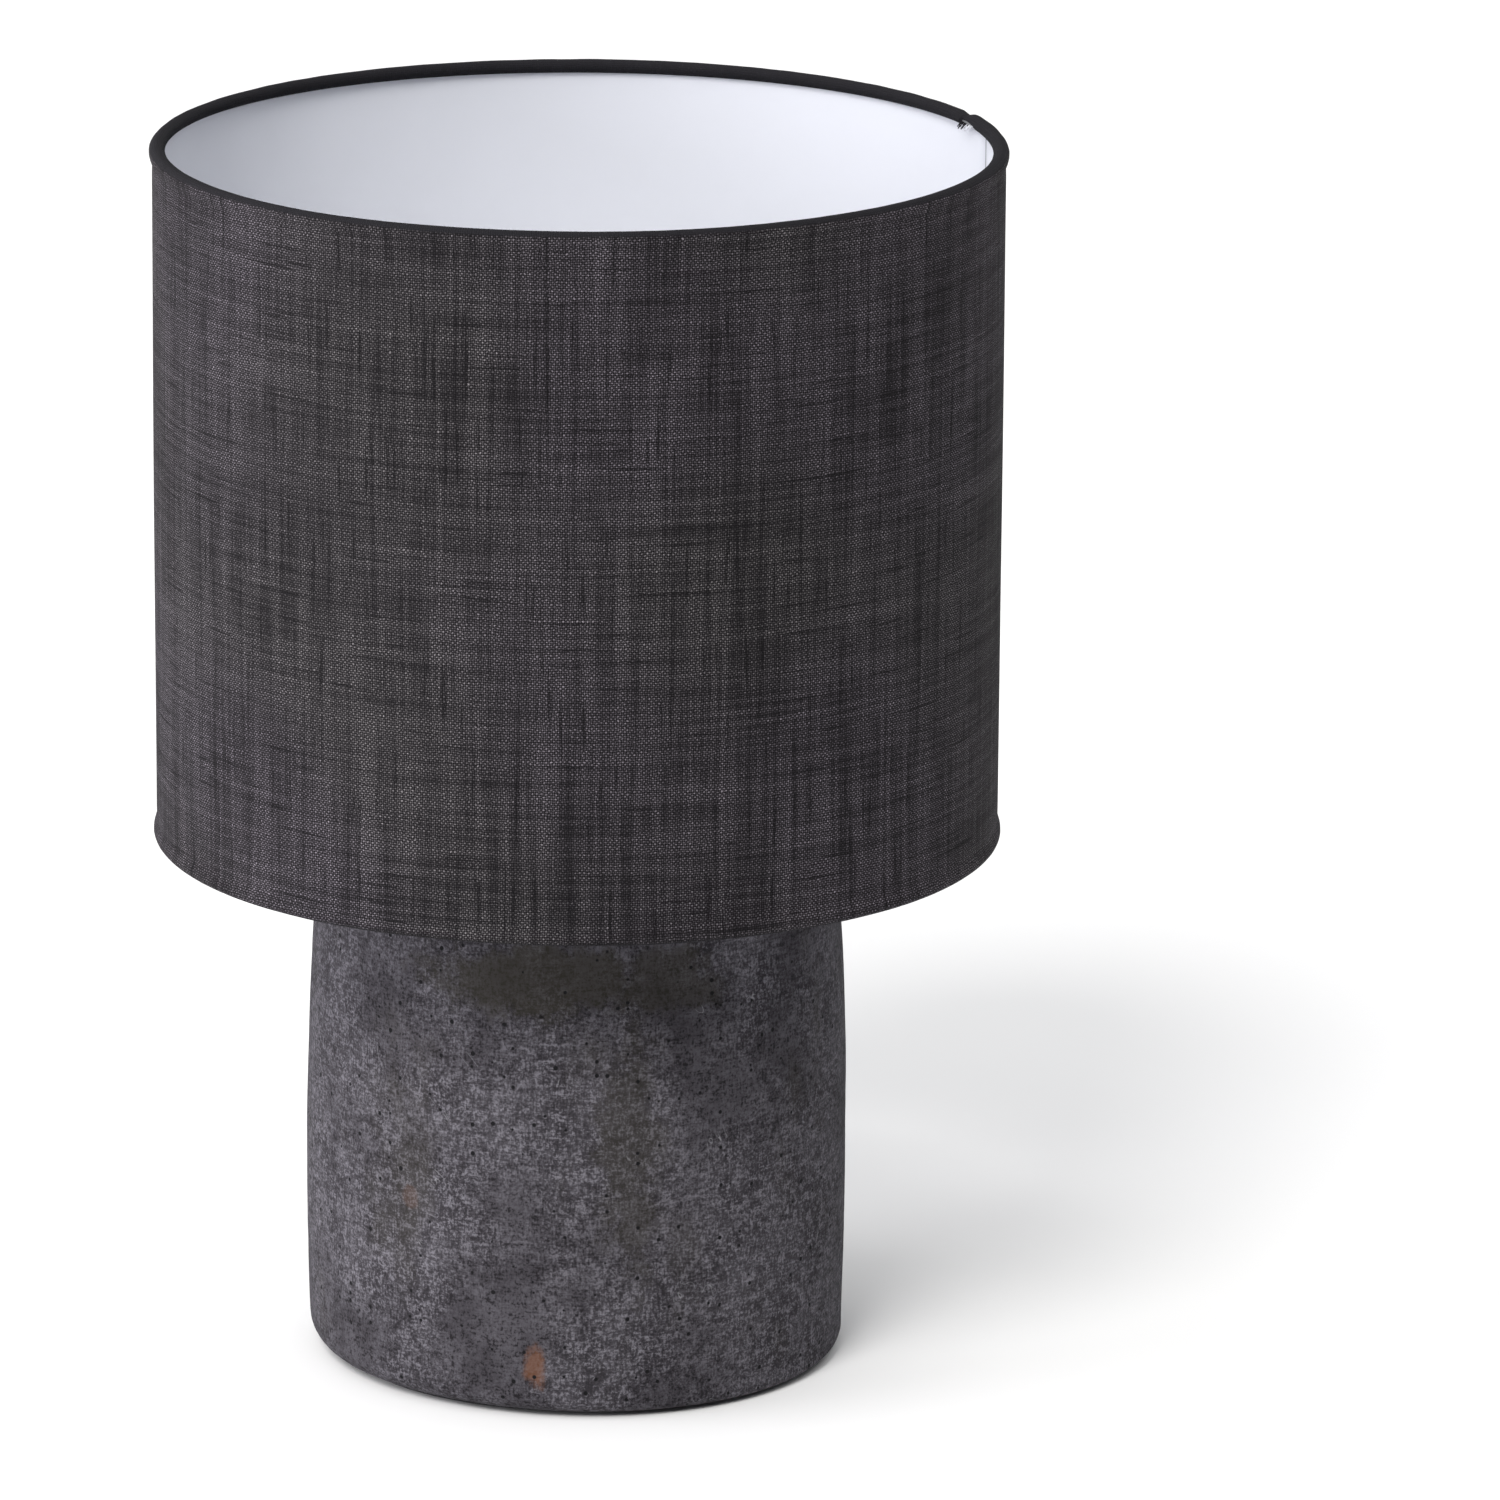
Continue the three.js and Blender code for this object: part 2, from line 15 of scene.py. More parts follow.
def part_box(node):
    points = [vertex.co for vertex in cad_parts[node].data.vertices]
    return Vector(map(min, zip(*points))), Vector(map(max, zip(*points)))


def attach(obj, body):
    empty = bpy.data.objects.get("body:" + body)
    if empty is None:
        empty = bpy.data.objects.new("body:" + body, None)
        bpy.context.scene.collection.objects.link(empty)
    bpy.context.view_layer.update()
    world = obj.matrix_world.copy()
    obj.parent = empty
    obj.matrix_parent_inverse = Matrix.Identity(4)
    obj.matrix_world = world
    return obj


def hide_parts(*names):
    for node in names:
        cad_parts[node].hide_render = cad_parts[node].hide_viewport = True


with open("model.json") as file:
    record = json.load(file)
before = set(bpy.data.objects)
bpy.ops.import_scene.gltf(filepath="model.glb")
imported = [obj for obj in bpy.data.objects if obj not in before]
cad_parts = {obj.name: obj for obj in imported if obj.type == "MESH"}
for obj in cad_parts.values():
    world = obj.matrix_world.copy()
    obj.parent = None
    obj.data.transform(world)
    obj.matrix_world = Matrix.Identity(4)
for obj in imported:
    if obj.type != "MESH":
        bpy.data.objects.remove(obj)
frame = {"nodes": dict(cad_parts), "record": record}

bl_info = {
    "name": "Linen Drum Lamp",
    "version": (1, 0, 0),
    "blender": (4, 5, 0),
    "location": "View3D > Sidebar > Lamp",
    "description": "Models and finishes a table lamp with a linen drum shade and a cast base",
    "category": "Object",
}

MM = 0.001
TURN = 2 * math.pi
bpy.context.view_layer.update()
GAP = 0.15 * MM                 # between two pieces that only just clear each other
SHADE_THREAD = 2.6 * MM         # pitch of the thread that the shade ring screws onto
SCREW_SHELL_THREAD = 3.63 * MM  # pitch of the bulb's thread
MERGED = 2e-6                   # points closer than this are one point


# ---- Sizes and colours that a user would change ----

def length(name, description, default):
    return FloatProperty(name=name, description=description, default=default, unit="LENGTH", min=0.0)


def colour(name, description, default):
    return FloatVectorProperty(
        name=name, description=description, default=default, subtype="COLOR", min=0.0, max=1.0)


class LampSizes(bpy.types.PropertyGroup):
    cloth: length("Cloth", "Thickness of the shade's linen", 0.45 * MM)
    yarn: length("Yarn spacing", "From one yarn to the next in the weave", 0.68 * MM)
    roll_depth: length("Roll depth", "Rolled edge, across the wall", 4.75 * MM)
    roll_height: length("Roll height", "Rolled edge, along the wall", 3.9 * MM)
    roll_bulge: length("Roll bulge", "How far a rolled edge stands out past the wall", 0.9 * MM)
    lap_step: length("Lap step", "How far the overlapping end of the cloth stands out", 1.0 * MM)
    notch: length("Notch", "Depth of the dip where the rolled edge's ends meet", 0.7 * MM)
    lap_length: length("Lap length", "How far round the overlap fades out", 34 * MM)
    film: length("Lining", "Thickness of the shade's stiff lining", 0.4 * MM)
    base_wall: length("Base wall", "Thickness of the cast wall", 13 * MM)
    foot_rounding: length("Foot rounding", "Radius of the base's lower edge", 8 * MM)
    shoulder_rounding: length("Shoulder rounding", "Radius of the base's hidden upper edge", 14 * MM)
    pits: IntProperty(name="Pits", description="Air holes in the casting", default=110, min=0)


class LampColours(bpy.types.PropertyGroup):
    linen: colour("Linen", "Charcoal yarn", (0.0095, 0.0085, 0.0098))
    # Pale crown colour: partly real fibres, partly painted highlight on the yarn tops.
    linen_fibres_and_highlight: colour("Linen fibres", "Pale fibres on the yarn", (0.245, 0.219, 0.252))
    linen_olive: colour("Linen tint", "Warmer patches of the cloth", (0.223, 0.209, 0.214))
    lining: colour("Lining", "White laminating film", (0.73, 0.745, 0.80))
    concrete: colour("Concrete", "Raw casting", (0.058, 0.054, 0.062))
    concrete_dark: colour("Concrete shadows", "Damp, dense patches", (0.010, 0.009, 0.0105))
    concrete_pale: colour("Concrete bloom", "Lime bloom on the skin", (0.185, 0.177, 0.200))
    stain: colour("Stain", "Olive brown stain", (0.030, 0.027, 0.020))
    rust: colour("Rust", "Rust bleeding from the grit", (0.145, 0.062, 0.030))
    plastic: colour("Black plastic", "Lampholder and shade ring", (0.018, 0.018, 0.020))
    floor: colour("Floor", "Pale floor", (0.86, 0.86, 0.86))


# ---- Modelling by operators ----

def select_only(*objects):
    """Selects these objects alone, and makes the first one active."""
    bpy.ops.object.select_all(action="DESELECT")
    for obj in objects:
        obj.select_set(True)
    if objects:
        bpy.context.view_layer.objects.active = objects[0]


def settled():
    """Applies the place, turn and scale of what is selected to its mesh."""
    bpy.ops.object.transform_apply(location=True, rotation=True, scale=True)


def joined(objects):
    """Makes one object of several."""
    select_only(*objects)
    bpy.ops.object.join()
    settled()
    return bpy.context.object


def drawn(name, points):
    """A chain of edges through points, drawn by extruding one vertex. Leaves it in edit mode."""
    select_only()
    bpy.ops.mesh.primitive_plane_add(size=MM, location=points[0])
    obj = bpy.context.object
    obj.name = name
    settled()
    bpy.ops.object.mode_set(mode="EDIT")
    bpy.ops.mesh.select_all(action="SELECT")
    bpy.ops.mesh.merge(type="CENTER")
    for last, point in zip(points, points[1:]):
        step = Vector(point) - Vector(last)
        bpy.ops.mesh.extrude_vertices_move(TRANSFORM_OT_translate={"value": step})
    return obj


def turned(name, outline, steps, closed=True):
    """Spins an outline of (radius, height) points about the lamp's axis. A closed one joins up."""
    points = [Vector((r, 0.0, z)) for r, z in outline]
    if closed:
        points.append(points[0].copy())
    obj = drawn(name, points)
    bpy.ops.mesh.select_all(action="SELECT")
    bpy.ops.mesh.spin(steps=steps, angle=TURN, center=(0, 0, 0), axis=(0, 0, 1))
    bpy.ops.mesh.select_all(action="SELECT")
    bpy.ops.mesh.remove_doubles(threshold=MERGED)
    bpy.ops.mesh.normals_make_consistent(inside=False)
    bpy.ops.object.mode_set(mode="OBJECT")
    return obj


def arc(centre, radii, start, end, steps):
    """Points on an ellipse from one angle to another, in degrees."""
    points = []
    for i in range(steps + 1):
        a = math.radians(start + (end - start) * i / steps)
        points.append((centre[0] + radii[0] * math.cos(a), centre[1] + radii[1] * math.sin(a)))
    return points


def straight(start, end, steps):
    """Points between two points, without either of them."""
    return [
        tuple(start[k] + (end[k] - start[k]) * i / steps for k in range(2))
        for i in range(1, steps)
    ]


def rounded(outline, radius, steps=3):
    """A closed outline with its corners rounded off."""
    points = []
    count = len(outline)
    for i, corner in enumerate(outline):
        here = Vector(corner)
        before = Vector(outline[i - 1]) - here
        after = Vector(outline[(i + 1) % count]) - here
        cut = min(radius, before.length * 0.45, after.length * 0.45)
        first = here + before.normalized() * cut
        last = here + after.normalized() * cut
        for k in range(steps + 1):
            t = k / steps
            point = first * (1 - t) ** 2 + here * 2 * t * (1 - t) + last * t ** 2
            points.append((max(point.x, 0.0), point.y))
    return points


def reshape(obj, move):
    """Moves each point of a turned piece: move(radius, angle, height) gives the new ones."""
    for vertex in obj.data.vertices:
        x, y, z = vertex.co
        r, a, z = move(math.hypot(x, y), math.atan2(y, x) % TURN, z)
        vertex.co = (r * math.cos(a), r * math.sin(a), z)
    obj.data.update()


def wire(name, points, thick, smoothness, turn=0.0):
    """A round wire through points: a bevelled curve made a mesh, turned about the lamp's axis."""
    select_only()
    bpy.ops.curve.primitive_bezier_curve_add()
    curve = bpy.context.object
    curve.name = name
    line = curve.data
    line.splines.clear()
    spline = line.splines.new("POLY")
    spline.points.add(len(points) - 1)
    for point, here in zip(spline.points, points):
        point.co = (*here, 1.0)
    line.bevel_depth, line.bevel_resolution, line.use_fill_caps = thick, smoothness, True
    curve.matrix_world = Matrix.Rotation(turn, 4, "Z")
    select_only(curve)
    bpy.ops.object.convert(target="MESH")
    settled()
    return bpy.context.object


def apply_modifier(obj, kind, **values):
    """Adds a modifier with these settings and applies it."""
    select_only(obj)
    modifier = obj.modifiers.new(kind.title(), kind)
    for key, value in values.items():
        setattr(modifier, key, value)
    bpy.ops.object.modifier_apply(modifier=modifier.name)


def cut_out(obj, cutter):
    """Cuts one object out of another and deletes it."""
    apply_modifier(obj, "BOOLEAN", object=cutter, operation="DIFFERENCE", solver="EXACT")
    bpy.data.objects.remove(cutter)


def smooth(obj, degrees=35):
    """Shades an object smooth across edges flatter than an angle."""
    select_only(obj)
    bpy.ops.object.shade_smooth_by_angle(angle=math.radians(degrees))


def finished(obj, body, slot, *nodes, degrees=35):
    """Smooths a piece, gives it its finish, and puts it on its body in place of its CAD nodes."""
    smooth(obj, degrees)
    obj.data.materials.clear()
    obj.data.materials.append(FINISHES[slot])
    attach(obj, body)
    if nodes:
        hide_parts(*nodes)


def refined(name, node, bevel):
    """A merged, bevelled copy of a small piece of hardware."""
    source = frame["nodes"][node]
    select_only(source)
    obj = bpy.data.objects.new(name, source.data.copy())
    bpy.context.scene.collection.objects.link(obj)
    select_only(obj)
    bpy.ops.object.mode_set(mode="EDIT")
    bpy.ops.mesh.select_all(action="SELECT")
    bpy.ops.mesh.remove_doubles(threshold=MERGED)
    bpy.ops.mesh.tris_convert_to_quads()
    bpy.ops.mesh.dissolve_limited(angle_limit=math.radians(1))
    bpy.ops.object.mode_set(mode="OBJECT")
    apply_modifier(
        obj, "BEVEL", width=bevel, segments=2, limit_method="ANGLE", angle_limit=math.radians(40))
    return obj


# ---- Shader groups and materials ----

class Graph:
    """Adds nodes to a tree and links them: an input is a socket, a number or a colour."""

    def __init__(self, tree):
        self.tree = tree

    def add(self, kind, inputs=None, **settings):
        node = self.tree.nodes.new(kind)
        for key, value in settings.items():
            setattr(node, key, value)
        self.give(node, inputs or {})
        return node

    def give(self, node, inputs):
        for key, value in inputs.items():
            self.feed(node.inputs[key], value)

    def feed(self, socket, value):
        if isinstance(value, bpy.types.NodeSocket):
            self.tree.links.new(value, socket)
        elif hasattr(value, "__len__") and hasattr(socket.default_value, "__len__"):
            length = len(socket.default_value)
            socket.default_value = (tuple(value) + (1.0,) * length)[:length]
        else:
            socket.default_value = value

    def math(self, operation, *values, clamp=False):
        node = self.add(
            "ShaderNodeMath", dict(enumerate(values)), operation=operation, use_clamp=clamp)
        return node.outputs[0]

    def vector(self, operation, *values):
        node = self.add("ShaderNodeVectorMath", dict(enumerate(values)), operation=operation)
        return node.outputs[0]

    def times(self, first, second):
        return self.math("MULTIPLY", first, second)

    def plus(self, first, second, clamp=False):
        return self.math("ADD", first, second, clamp=clamp)

    def minus(self, first, second):
        return self.math("SUBTRACT", first, second)

    def most(self, first, second):
        return self.math("MAXIMUM", first, second)

    def size_of(self, value):
        return self.math("ABSOLUTE", value)

    def fused(self, value, factor, extra):
        """value times factor, plus extra"""
        return self.math("MULTIPLY_ADD", value, factor, extra)

    def scaled(self, vector, *scales):
        return self.vector("MULTIPLY", vector, scales)

    def noise(self, vector, scale=1.0, detail=2.0, roughness=0.5):
        node = self.add("ShaderNodeTexNoise", {
            "Vector": vector, "Scale": scale, "Detail": detail, "Roughness": roughness})
        return node.outputs["Fac"]

    def ramp(self, value, low, high, out_low=0.0, out_high=1.0):
        """A smooth step between two values, from out_low to out_high."""
        node = self.add("ShaderNodeMapRange", {
            "Value": value, "From Min": low, "From Max": high, "To Min": out_low, "To Max": out_high},
            interpolation_type="SMOOTHSTEP")
        return node.outputs["Result"]

    def mix(self, factor, first, second):
        """Mixes two colours. A Mix node keeps its colour sockets at 6 and 7, and the result at 2."""
        node = self.add("ShaderNodeMix", {"Factor": factor, 6: first, 7: second}, data_type="RGBA")
        return node.outputs[2]

    def distance(self, vector):
        """How long a vector is."""
        return self.add("ShaderNodeVectorMath", {0: vector}, operation="LENGTH").outputs["Value"]

    def bump(self, height, distance, strength):
        node = self.add(
            "ShaderNodeBump", {"Height": height, "Distance": distance, "Strength": strength})
        return node.outputs["Normal"]

    def group(self, tree, inputs):
        return self.add("ShaderNodeGroup", inputs, node_tree=tree)


def new_group(name, inputs, outputs):
    """An empty shader group with named sockets, its graph, its input node and its output node."""
    tree = bpy.data.node_groups.new(name, "ShaderNodeTree")
    for socket, kind, default in inputs:
        made = tree.interface.new_socket(name=socket, in_out="INPUT", socket_type="NodeSocket" + kind)
        if default is not None:
            made.default_value = default
    for socket, kind in outputs:
        tree.interface.new_socket(name=socket, in_out="OUTPUT", socket_type="NodeSocket" + kind)
    graph = Graph(tree)
    return tree, graph, graph.add("NodeGroupInput"), graph.add("NodeGroupOutput")


def weave_group():
    """Plain weave: Vector is across and along the cloth in yarns. Height is 0 in the gaps."""
    tree, g, given, out = new_group(
        "Plain weave",
        [("Vector", "Vector", None), ("Unevenness", "Float", 0.35)],
        [("Height", "Float"), ("Warp", "Float"), ("Yarn tone", "Float")],
    )
    vector = given.outputs["Vector"]

    def shifted(place, scale, detail, amount):
        """A place pushed about by noise, so that no yarn runs quite straight."""
        drift = g.add("ShaderNodeTexNoise", {"Vector": vector, "Scale": scale, "Detail": detail})
        offset = g.vector("SUBTRACT", drift.outputs["Color"], (0.5, 0.5, 0.5))
        return g.vector("ADD", place, g.add(
            "ShaderNodeVectorMath", {0: offset, "Scale": amount}, operation="SCALE").outputs[0])

    wandering = shifted(vector, 0.11, 2.0, g.times(given.outputs["Unevenness"], 6.0))
    part = g.add("ShaderNodeSeparateXYZ", {"Vector": shifted(wandering, 0.45, 1.0, 1.1)})
    across = g.math("SINE", g.times(part.outputs["X"], math.pi))
    along = g.math("SINE", g.times(part.outputs["Y"], math.pi))
    warp_up = g.times(along, g.math("SIGN", across))
    weft_up = g.times(g.times(across, g.math("SIGN", along)), -1.0)

    def yarn(profile, lift):
        body = g.math("POWER", g.size_of(profile), 0.6)
        return g.times(body, g.fused(lift, 0.5, 0.5))

    warp = yarn(across, warp_up)
    weft = yarn(along, weft_up)
    yarn_number = g.add("ShaderNodeCombineXYZ", {
        "X": g.math("FLOOR", part.outputs["X"]),
        "Y": g.times(part.outputs["Y"], 0.03),
    }).outputs[0]
    pick_number = g.add("ShaderNodeCombineXYZ", {
        "X": g.times(part.outputs["X"], 0.03),
        "Y": g.math("FLOOR", part.outputs["Y"]),
        "Z": 7.3,
    }).outputs[0]
    is_warp = g.math("GREATER_THAN", warp, weft)
    tone = g.plus(
        g.times(g.noise(yarn_number, 0.9, 1.0), is_warp),
        g.times(g.noise(pick_number, 0.9, 1.0), g.minus(1.0, is_warp)))
    g.give(out, {"Height": g.most(warp, weft), "Warp": is_warp, "Yarn tone": tone})
    return tree


def marks_group():
    """Handling marks for hard finishes: a fine grain, soft smears and sparse scratches."""
    tree, g, given, out = new_group(
        "Handling marks",
        [("Vector", "Vector", None), ("Grain per metre", "Float", 2500.0)],
        [("Grain", "Float"), ("Smears", "Float"), ("Scratches", "Float")],
    )
    vector = given.outputs["Vector"]
    grain = g.noise(vector, given.outputs["Grain per metre"], 2.0, 0.6)
    smears = g.ramp(g.noise(vector, 60.0, 4.0, 0.6), 0.4, 0.7)
    lines = g.noise(g.scaled(vector, 160.0, 1100.0, 300.0), 1.0, 2.0, 0.5)
    near = g.size_of(g.minus(lines, 0.5))
    thin = g.ramp(near, 0.0, 0.012, 1.0, 0.0)
    patches = g.ramp(g.noise(vector, 140.0, 1.0), 0.58, 0.7)
    g.give(out, {"Grain": grain, "Smears": smears, "Scratches": g.times(thin, patches)})
    return tree


def new_material(name):
    """An empty material, its graph and its shader."""
    material = bpy.data.materials.new(name)
    material.use_nodes = True
    material.node_tree.nodes.clear()
    g = Graph(material.node_tree)
    surface = g.add("ShaderNodeBsdfPrincipled")
    g.add("ShaderNodeOutputMaterial", {"Surface": surface.outputs[0]})
    return material, g, surface


def object_place(g):
    return g.add("ShaderNodeTexCoord").outputs["Object"]


def linen_material(groups, sizes, colours):
    """Plain weave with uneven yarns and slubs, crowns lightened by fibres and painted highlight and gaps
    darkened as painted shade; pulled smooth and darkened as painted shade where it is rolled over the
    wires.
    """
    material, g, surface = new_material("Charcoal linen")
    laid = g.add("ShaderNodeUVMap", uv_map="cloth").outputs[0]
    yarns = g.scaled(laid, 1 / sizes.yarn, 1 / sizes.yarn, 1.0)
    weave = g.group(groups["weave"], {"Vector": yarns, "Unevenness": 0.25})

    def streaks(across, along, detail=2.0):
        """The same noise drawn out along the warp and along the weft."""
        return (g.noise(g.scaled(laid, across, along, 1.0), 1.0, detail, 0.55),
                g.noise(g.scaled(laid, along, across, 1.0), 1.0, detail, 0.55))

    # Uneven yarns: every one has its own tone, and bands of them run lighter or darker.
    tall, wide = streaks(620.0, 15.0)
    tall_band, wide_band = streaks(150.0, 8.0)
    blocks = g.noise(g.scaled(laid, 26.0, 20.0, 1.0), 1.0, 3.0, 0.6)
    tone = 0.5
    for part, weight in ((tall, 1.5), (wide, 1.2), (tall_band, 0.8), (wide_band, 0.5), (blocks, 0.8)):
        tone = g.plus(tone, g.fused(part, weight, -0.5 * weight))
    tone = g.plus(tone, g.fused(weave.outputs["Yarn tone"], 0.5, -0.25), clamp=True)

    # Slubs: yarns that run thick and dark for a few centimetres.
    tall_slub, wide_slub = streaks(760.0, 30.0)
    slubs = g.most(g.ramp(tall_slub, 0.585, 0.70), g.ramp(wide_slub, 0.60, 0.71))

    # Over the top of each roll, and in the tuck behind it, the cloth is pulled smooth and its colour is
    # darkened as painted shade.
    low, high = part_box("shade_cover")
    at = object_place(g)
    z = g.add("ShaderNodeSeparateXYZ", {"Vector": at}).outputs["Z"]
    out_from_axis = g.distance(g.scaled(at, 1.0, 1.0, 0.0))
    ring = high.x - sizes.roll_depth / 2
    rolled = g.ramp(out_from_axis, ring + 0.5 * MM, ring - 0.3 * MM)
    rolled = g.most(rolled, g.ramp(z, high.z - 1.5 * MM, high.z - 0.8 * MM))
    rolled = g.most(rolled, g.ramp(z, low.z + 0.9 * MM, low.z + 0.3 * MM))

    # Pale fibres on the crowns, lying over dark gaps.
    # Pale colour on the yarn crowns, partly real pale fibres and partly painted highlight, over gaps
    # darkened as painted shade.
    crown = g.ramp(weave.outputs["Height"], 0.42, 0.94)
    fibre = g.noise(g.scaled(laid, 1700.0, 1700.0, 1.0), 1.0, 2.0, 0.7)
    system = g.fused(weave.outputs["Warp"], -0.68, 1.0)
    bright = g.times(g.times(crown, system), g.ramp(fibre, 0.36, 0.66, 0.3, 1.0))
    bright = g.times(bright, g.fused(tone, 1.15, 0.10))
    bright = g.times(bright, g.fused(slubs, -0.72, 1.0))
    bright = g.times(bright, g.fused(rolled, -0.8, 1.0))
    fluff = g.times(g.ramp(fibre, 0.73, 0.80), g.times(crown, 0.6))
    fluff = g.times(fluff, g.minus(1.0, rolled))
    # Painted shade: the gaps between the yarns get a darker colour than the yarn itself.
    yarn_and_gap_shade = g.mix(g.ramp(weave.outputs["Height"], 0.05, 0.55), (0.003, 0.0026, 0.003), colours.linen)
    yarn_and_gap_shade = g.mix(g.times(slubs, 0.6), yarn_and_gap_shade, (0.005, 0.0045, 0.0052))
    olive = g.ramp(g.noise(g.scaled(laid, 7.0, 7.0, 1.0), 1.0, 1.0), 0.42, 0.62)
    pale = g.mix(olive, colours.linen_fibres_and_highlight, colours.linen_olive)
    base = g.mix(bright, yarn_and_gap_shade, pale)
    base = g.mix(fluff, base, (0.34, 0.33, 0.35))
    # Painted shade: the rolled edges get a darker colour than the wall.
    base = g.mix(g.times(rolled, 0.8), base, (0.017, 0.0165, 0.0195))
    g.give(surface, {
        "Base Color": base,
        "Roughness": 0.85,
        "Specular IOR Level": 0.06,
        "Sheen Weight": 0.015,
        "Sheen Roughness": 0.4,
    })
    lift = g.fused(slubs, 0.4, weave.outputs["Height"])
    g.feed(surface.inputs["Normal"], g.bump(lift, 0.2 * MM, 0.85))
    return material


def lining_material(groups, colours):
    """White film, faintly smeared and rippled, with a painted shadow line along its lapping end."""
    material, g, surface = new_material("White laminating film")
    laid = g.add("ShaderNodeUVMap", uv_map="cloth").outputs[0]
    marks = g.group(groups["marks"], {"Vector": object_place(g), "Grain per metre": 1400.0})
    part = g.add("ShaderNodeSeparateXYZ", {"Vector": laid})
    # Painted shadow: a dark line along the edge where the lining's ends lap.
    lap_painted_shadow = g.ramp(part.outputs["X"], 1.7 * MM, 2.2 * MM, 0.85, 0.0)
    smears = g.times(marks.outputs["Smears"], 0.05)
    tone = g.mix(smears, colours.lining, (0.60, 0.62, 0.68))
    g.give(surface, {
        "Base Color": g.mix(lap_painted_shadow, tone, (0.12, 0.12, 0.13)),
        "Roughness": g.fused(marks.outputs["Smears"], 0.1, 0.42),
    })
    ripple = g.noise(g.scaled(laid, 14.0, 9.0, 1.0), 1.0, 2.0)
    height = g.fused(marks.outputs["Grain"], 0.03, ripple)
    g.feed(surface.inputs["Normal"], g.bump(height, 0.35 * MM, 0.6))
    return material


def blotch(g, vector, centre, radii):
    """A soft spot: 1 at its centre and 0 past its radii, its edge broken up by noise."""
    away = g.vector("DIVIDE", g.vector("SUBTRACT", vector, centre), radii)
    ragged = g.noise(vector, 95.0, 5.0, 0.72)
    edge = g.fused(ragged, 2.0, g.minus(g.distance(away), 1.0))
    return g.ramp(edge, 0.45, 0.95, 1.0, 0.0)


def concrete_material(colours):
    """Mottled casting skin with stains, rust, pinholes darkened as painted shade, and hairline
    scratches.
    """
    material, g, surface = new_material("Raw cast concrete")
    at = object_place(g)
    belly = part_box("base_shell")[1].x

    # The skin: a close print of cloth, in short strokes both ways, over fine grit.
    level = g.noise(g.scaled(at, 260.0, 260.0, 1500.0), 1.0, 3.0, 0.6)
    upright = g.noise(g.scaled(at, 1500.0, 1500.0, 240.0), 1.0, 3.0, 0.6)
    grit = g.noise(at, 1250.0, 3.0, 0.7)
    strokes = g.times(g.plus(level, upright), 0.5)
    lumps = g.noise(g.scaled(at, 1.0, 1.0, 1.3), 330.0, 3.0, 0.6)
    speckle = g.plus(g.times(strokes, 0.35), g.times(grit, 0.42))
    speckle = g.fused(lumps, 0.23, speckle)

    # Large soft patches of denser and paler skin, and a bloom that follows them.
    patches = g.noise(g.scaled(at, 22.0, 22.0, 17.0), 1.0, 4.0, 0.6)
    clouds = g.noise(at, 75.0, 4.0, 0.65)
    bloom = g.times(g.ramp(speckle, 0.48, 0.60), g.ramp(patches, 0.36, 0.58, 0.15, 1.0))
    dark = g.times(g.ramp(speckle, 0.50, 0.42), g.ramp(patches, 0.62, 0.38, 0.55, 1.0))
    skin = g.mix(g.ramp(clouds, 0.40, 0.60, 0.0, 0.85), colours.concrete, (0.032, 0.029, 0.034))
    skin = g.mix(g.times(bloom, 0.8), skin, colours.concrete_pale)
    skin = g.mix(g.times(dark, 0.9), skin, colours.concrete_dark)

    # Stains below the shade and down the front, and two rust spots.
    def stained(*spots):
        mask = 0.0
        for (x, y, z), (wide, tall), strength in spots:
            spot = blotch(g, at, (x, y, z), (wide, 0.04, tall))
            mask = g.most(mask, g.times(spot, strength))
        return mask

    stain = stained(
        ((-0.012, -belly, 0.134), (0.042, 0.015), 1.0),
        ((0.027, -belly, 0.133), (0.022, 0.014), 0.8),
        ((0.016, -belly, 0.086), (0.013, 0.050), 0.65))
    stain = g.most(stain, g.times(g.ramp(
        g.noise(g.scaled(at, 26.0, 26.0, 15.0), 1.0, 4.0, 0.6), 0.56, 0.74), 0.6))
    skin = g.mix(g.times(stain, 0.66), skin, colours.stain)
    rust = stained(
        ((-0.012, -belly, 0.016), (0.0045, 0.008), 1.0),
        ((-0.049, -0.063, 0.064), (0.003, 0.0038), 0.25))
    skin = g.mix(g.times(rust, 0.6), skin, colours.rust)

    # Pinholes, bumped in and darkened as painted shade, and hairline scratches where the lime shows.
    cells = g.add("ShaderNodeTexVoronoi", {"Vector": at, "Scale": 330.0, "Randomness": 1.0})
    lottery = g.add("ShaderNodeSeparateColor", {"Color": cells.outputs["Color"]}).outputs[0]
    size = g.ramp(lottery, 0.66, 1.0, 0.04, 0.24)
    holes = g.ramp(g.minus(cells.outputs["Distance"], size), -0.05, 0.02, 1.0, 0.0)
    holes = g.times(holes, g.math("GREATER_THAN", lottery, 0.66))
    turned_at = g.add("ShaderNodeMapping", {"Vector": at, "Rotation": (0.3, 0.75, 0.5)}).outputs[0]
    ridge = g.noise(g.scaled(turned_at, 420.0, 420.0, 38.0), 1.0, 0.0, 0.5)
    hair = g.ramp(g.size_of(g.minus(ridge, 0.5)), 0.0, 0.02, 1.0, 0.0)
    hair = g.times(hair, g.ramp(g.noise(at, 90.0, 2.0), 0.65, 0.71))
    skin = g.mix(g.times(hair, 0.4), skin, (0.34, 0.34, 0.36))
    # Painted shade: the pinholes get a near-black colour.
    skin = g.mix(holes, skin, (0.008, 0.008, 0.009))
    g.give(surface, {
        "Base Color": skin,
        "Roughness": g.fused(bloom, 0.12, 0.82),
        "Specular IOR Level": 0.1,
    })
    relief = g.fused(speckle, 1.0, g.times(holes, -1.3))
    relief = g.fused(hair, 0.25, relief)
    g.feed(surface.inputs["Normal"], g.bump(relief, 0.45 * MM, 0.7))
    return material


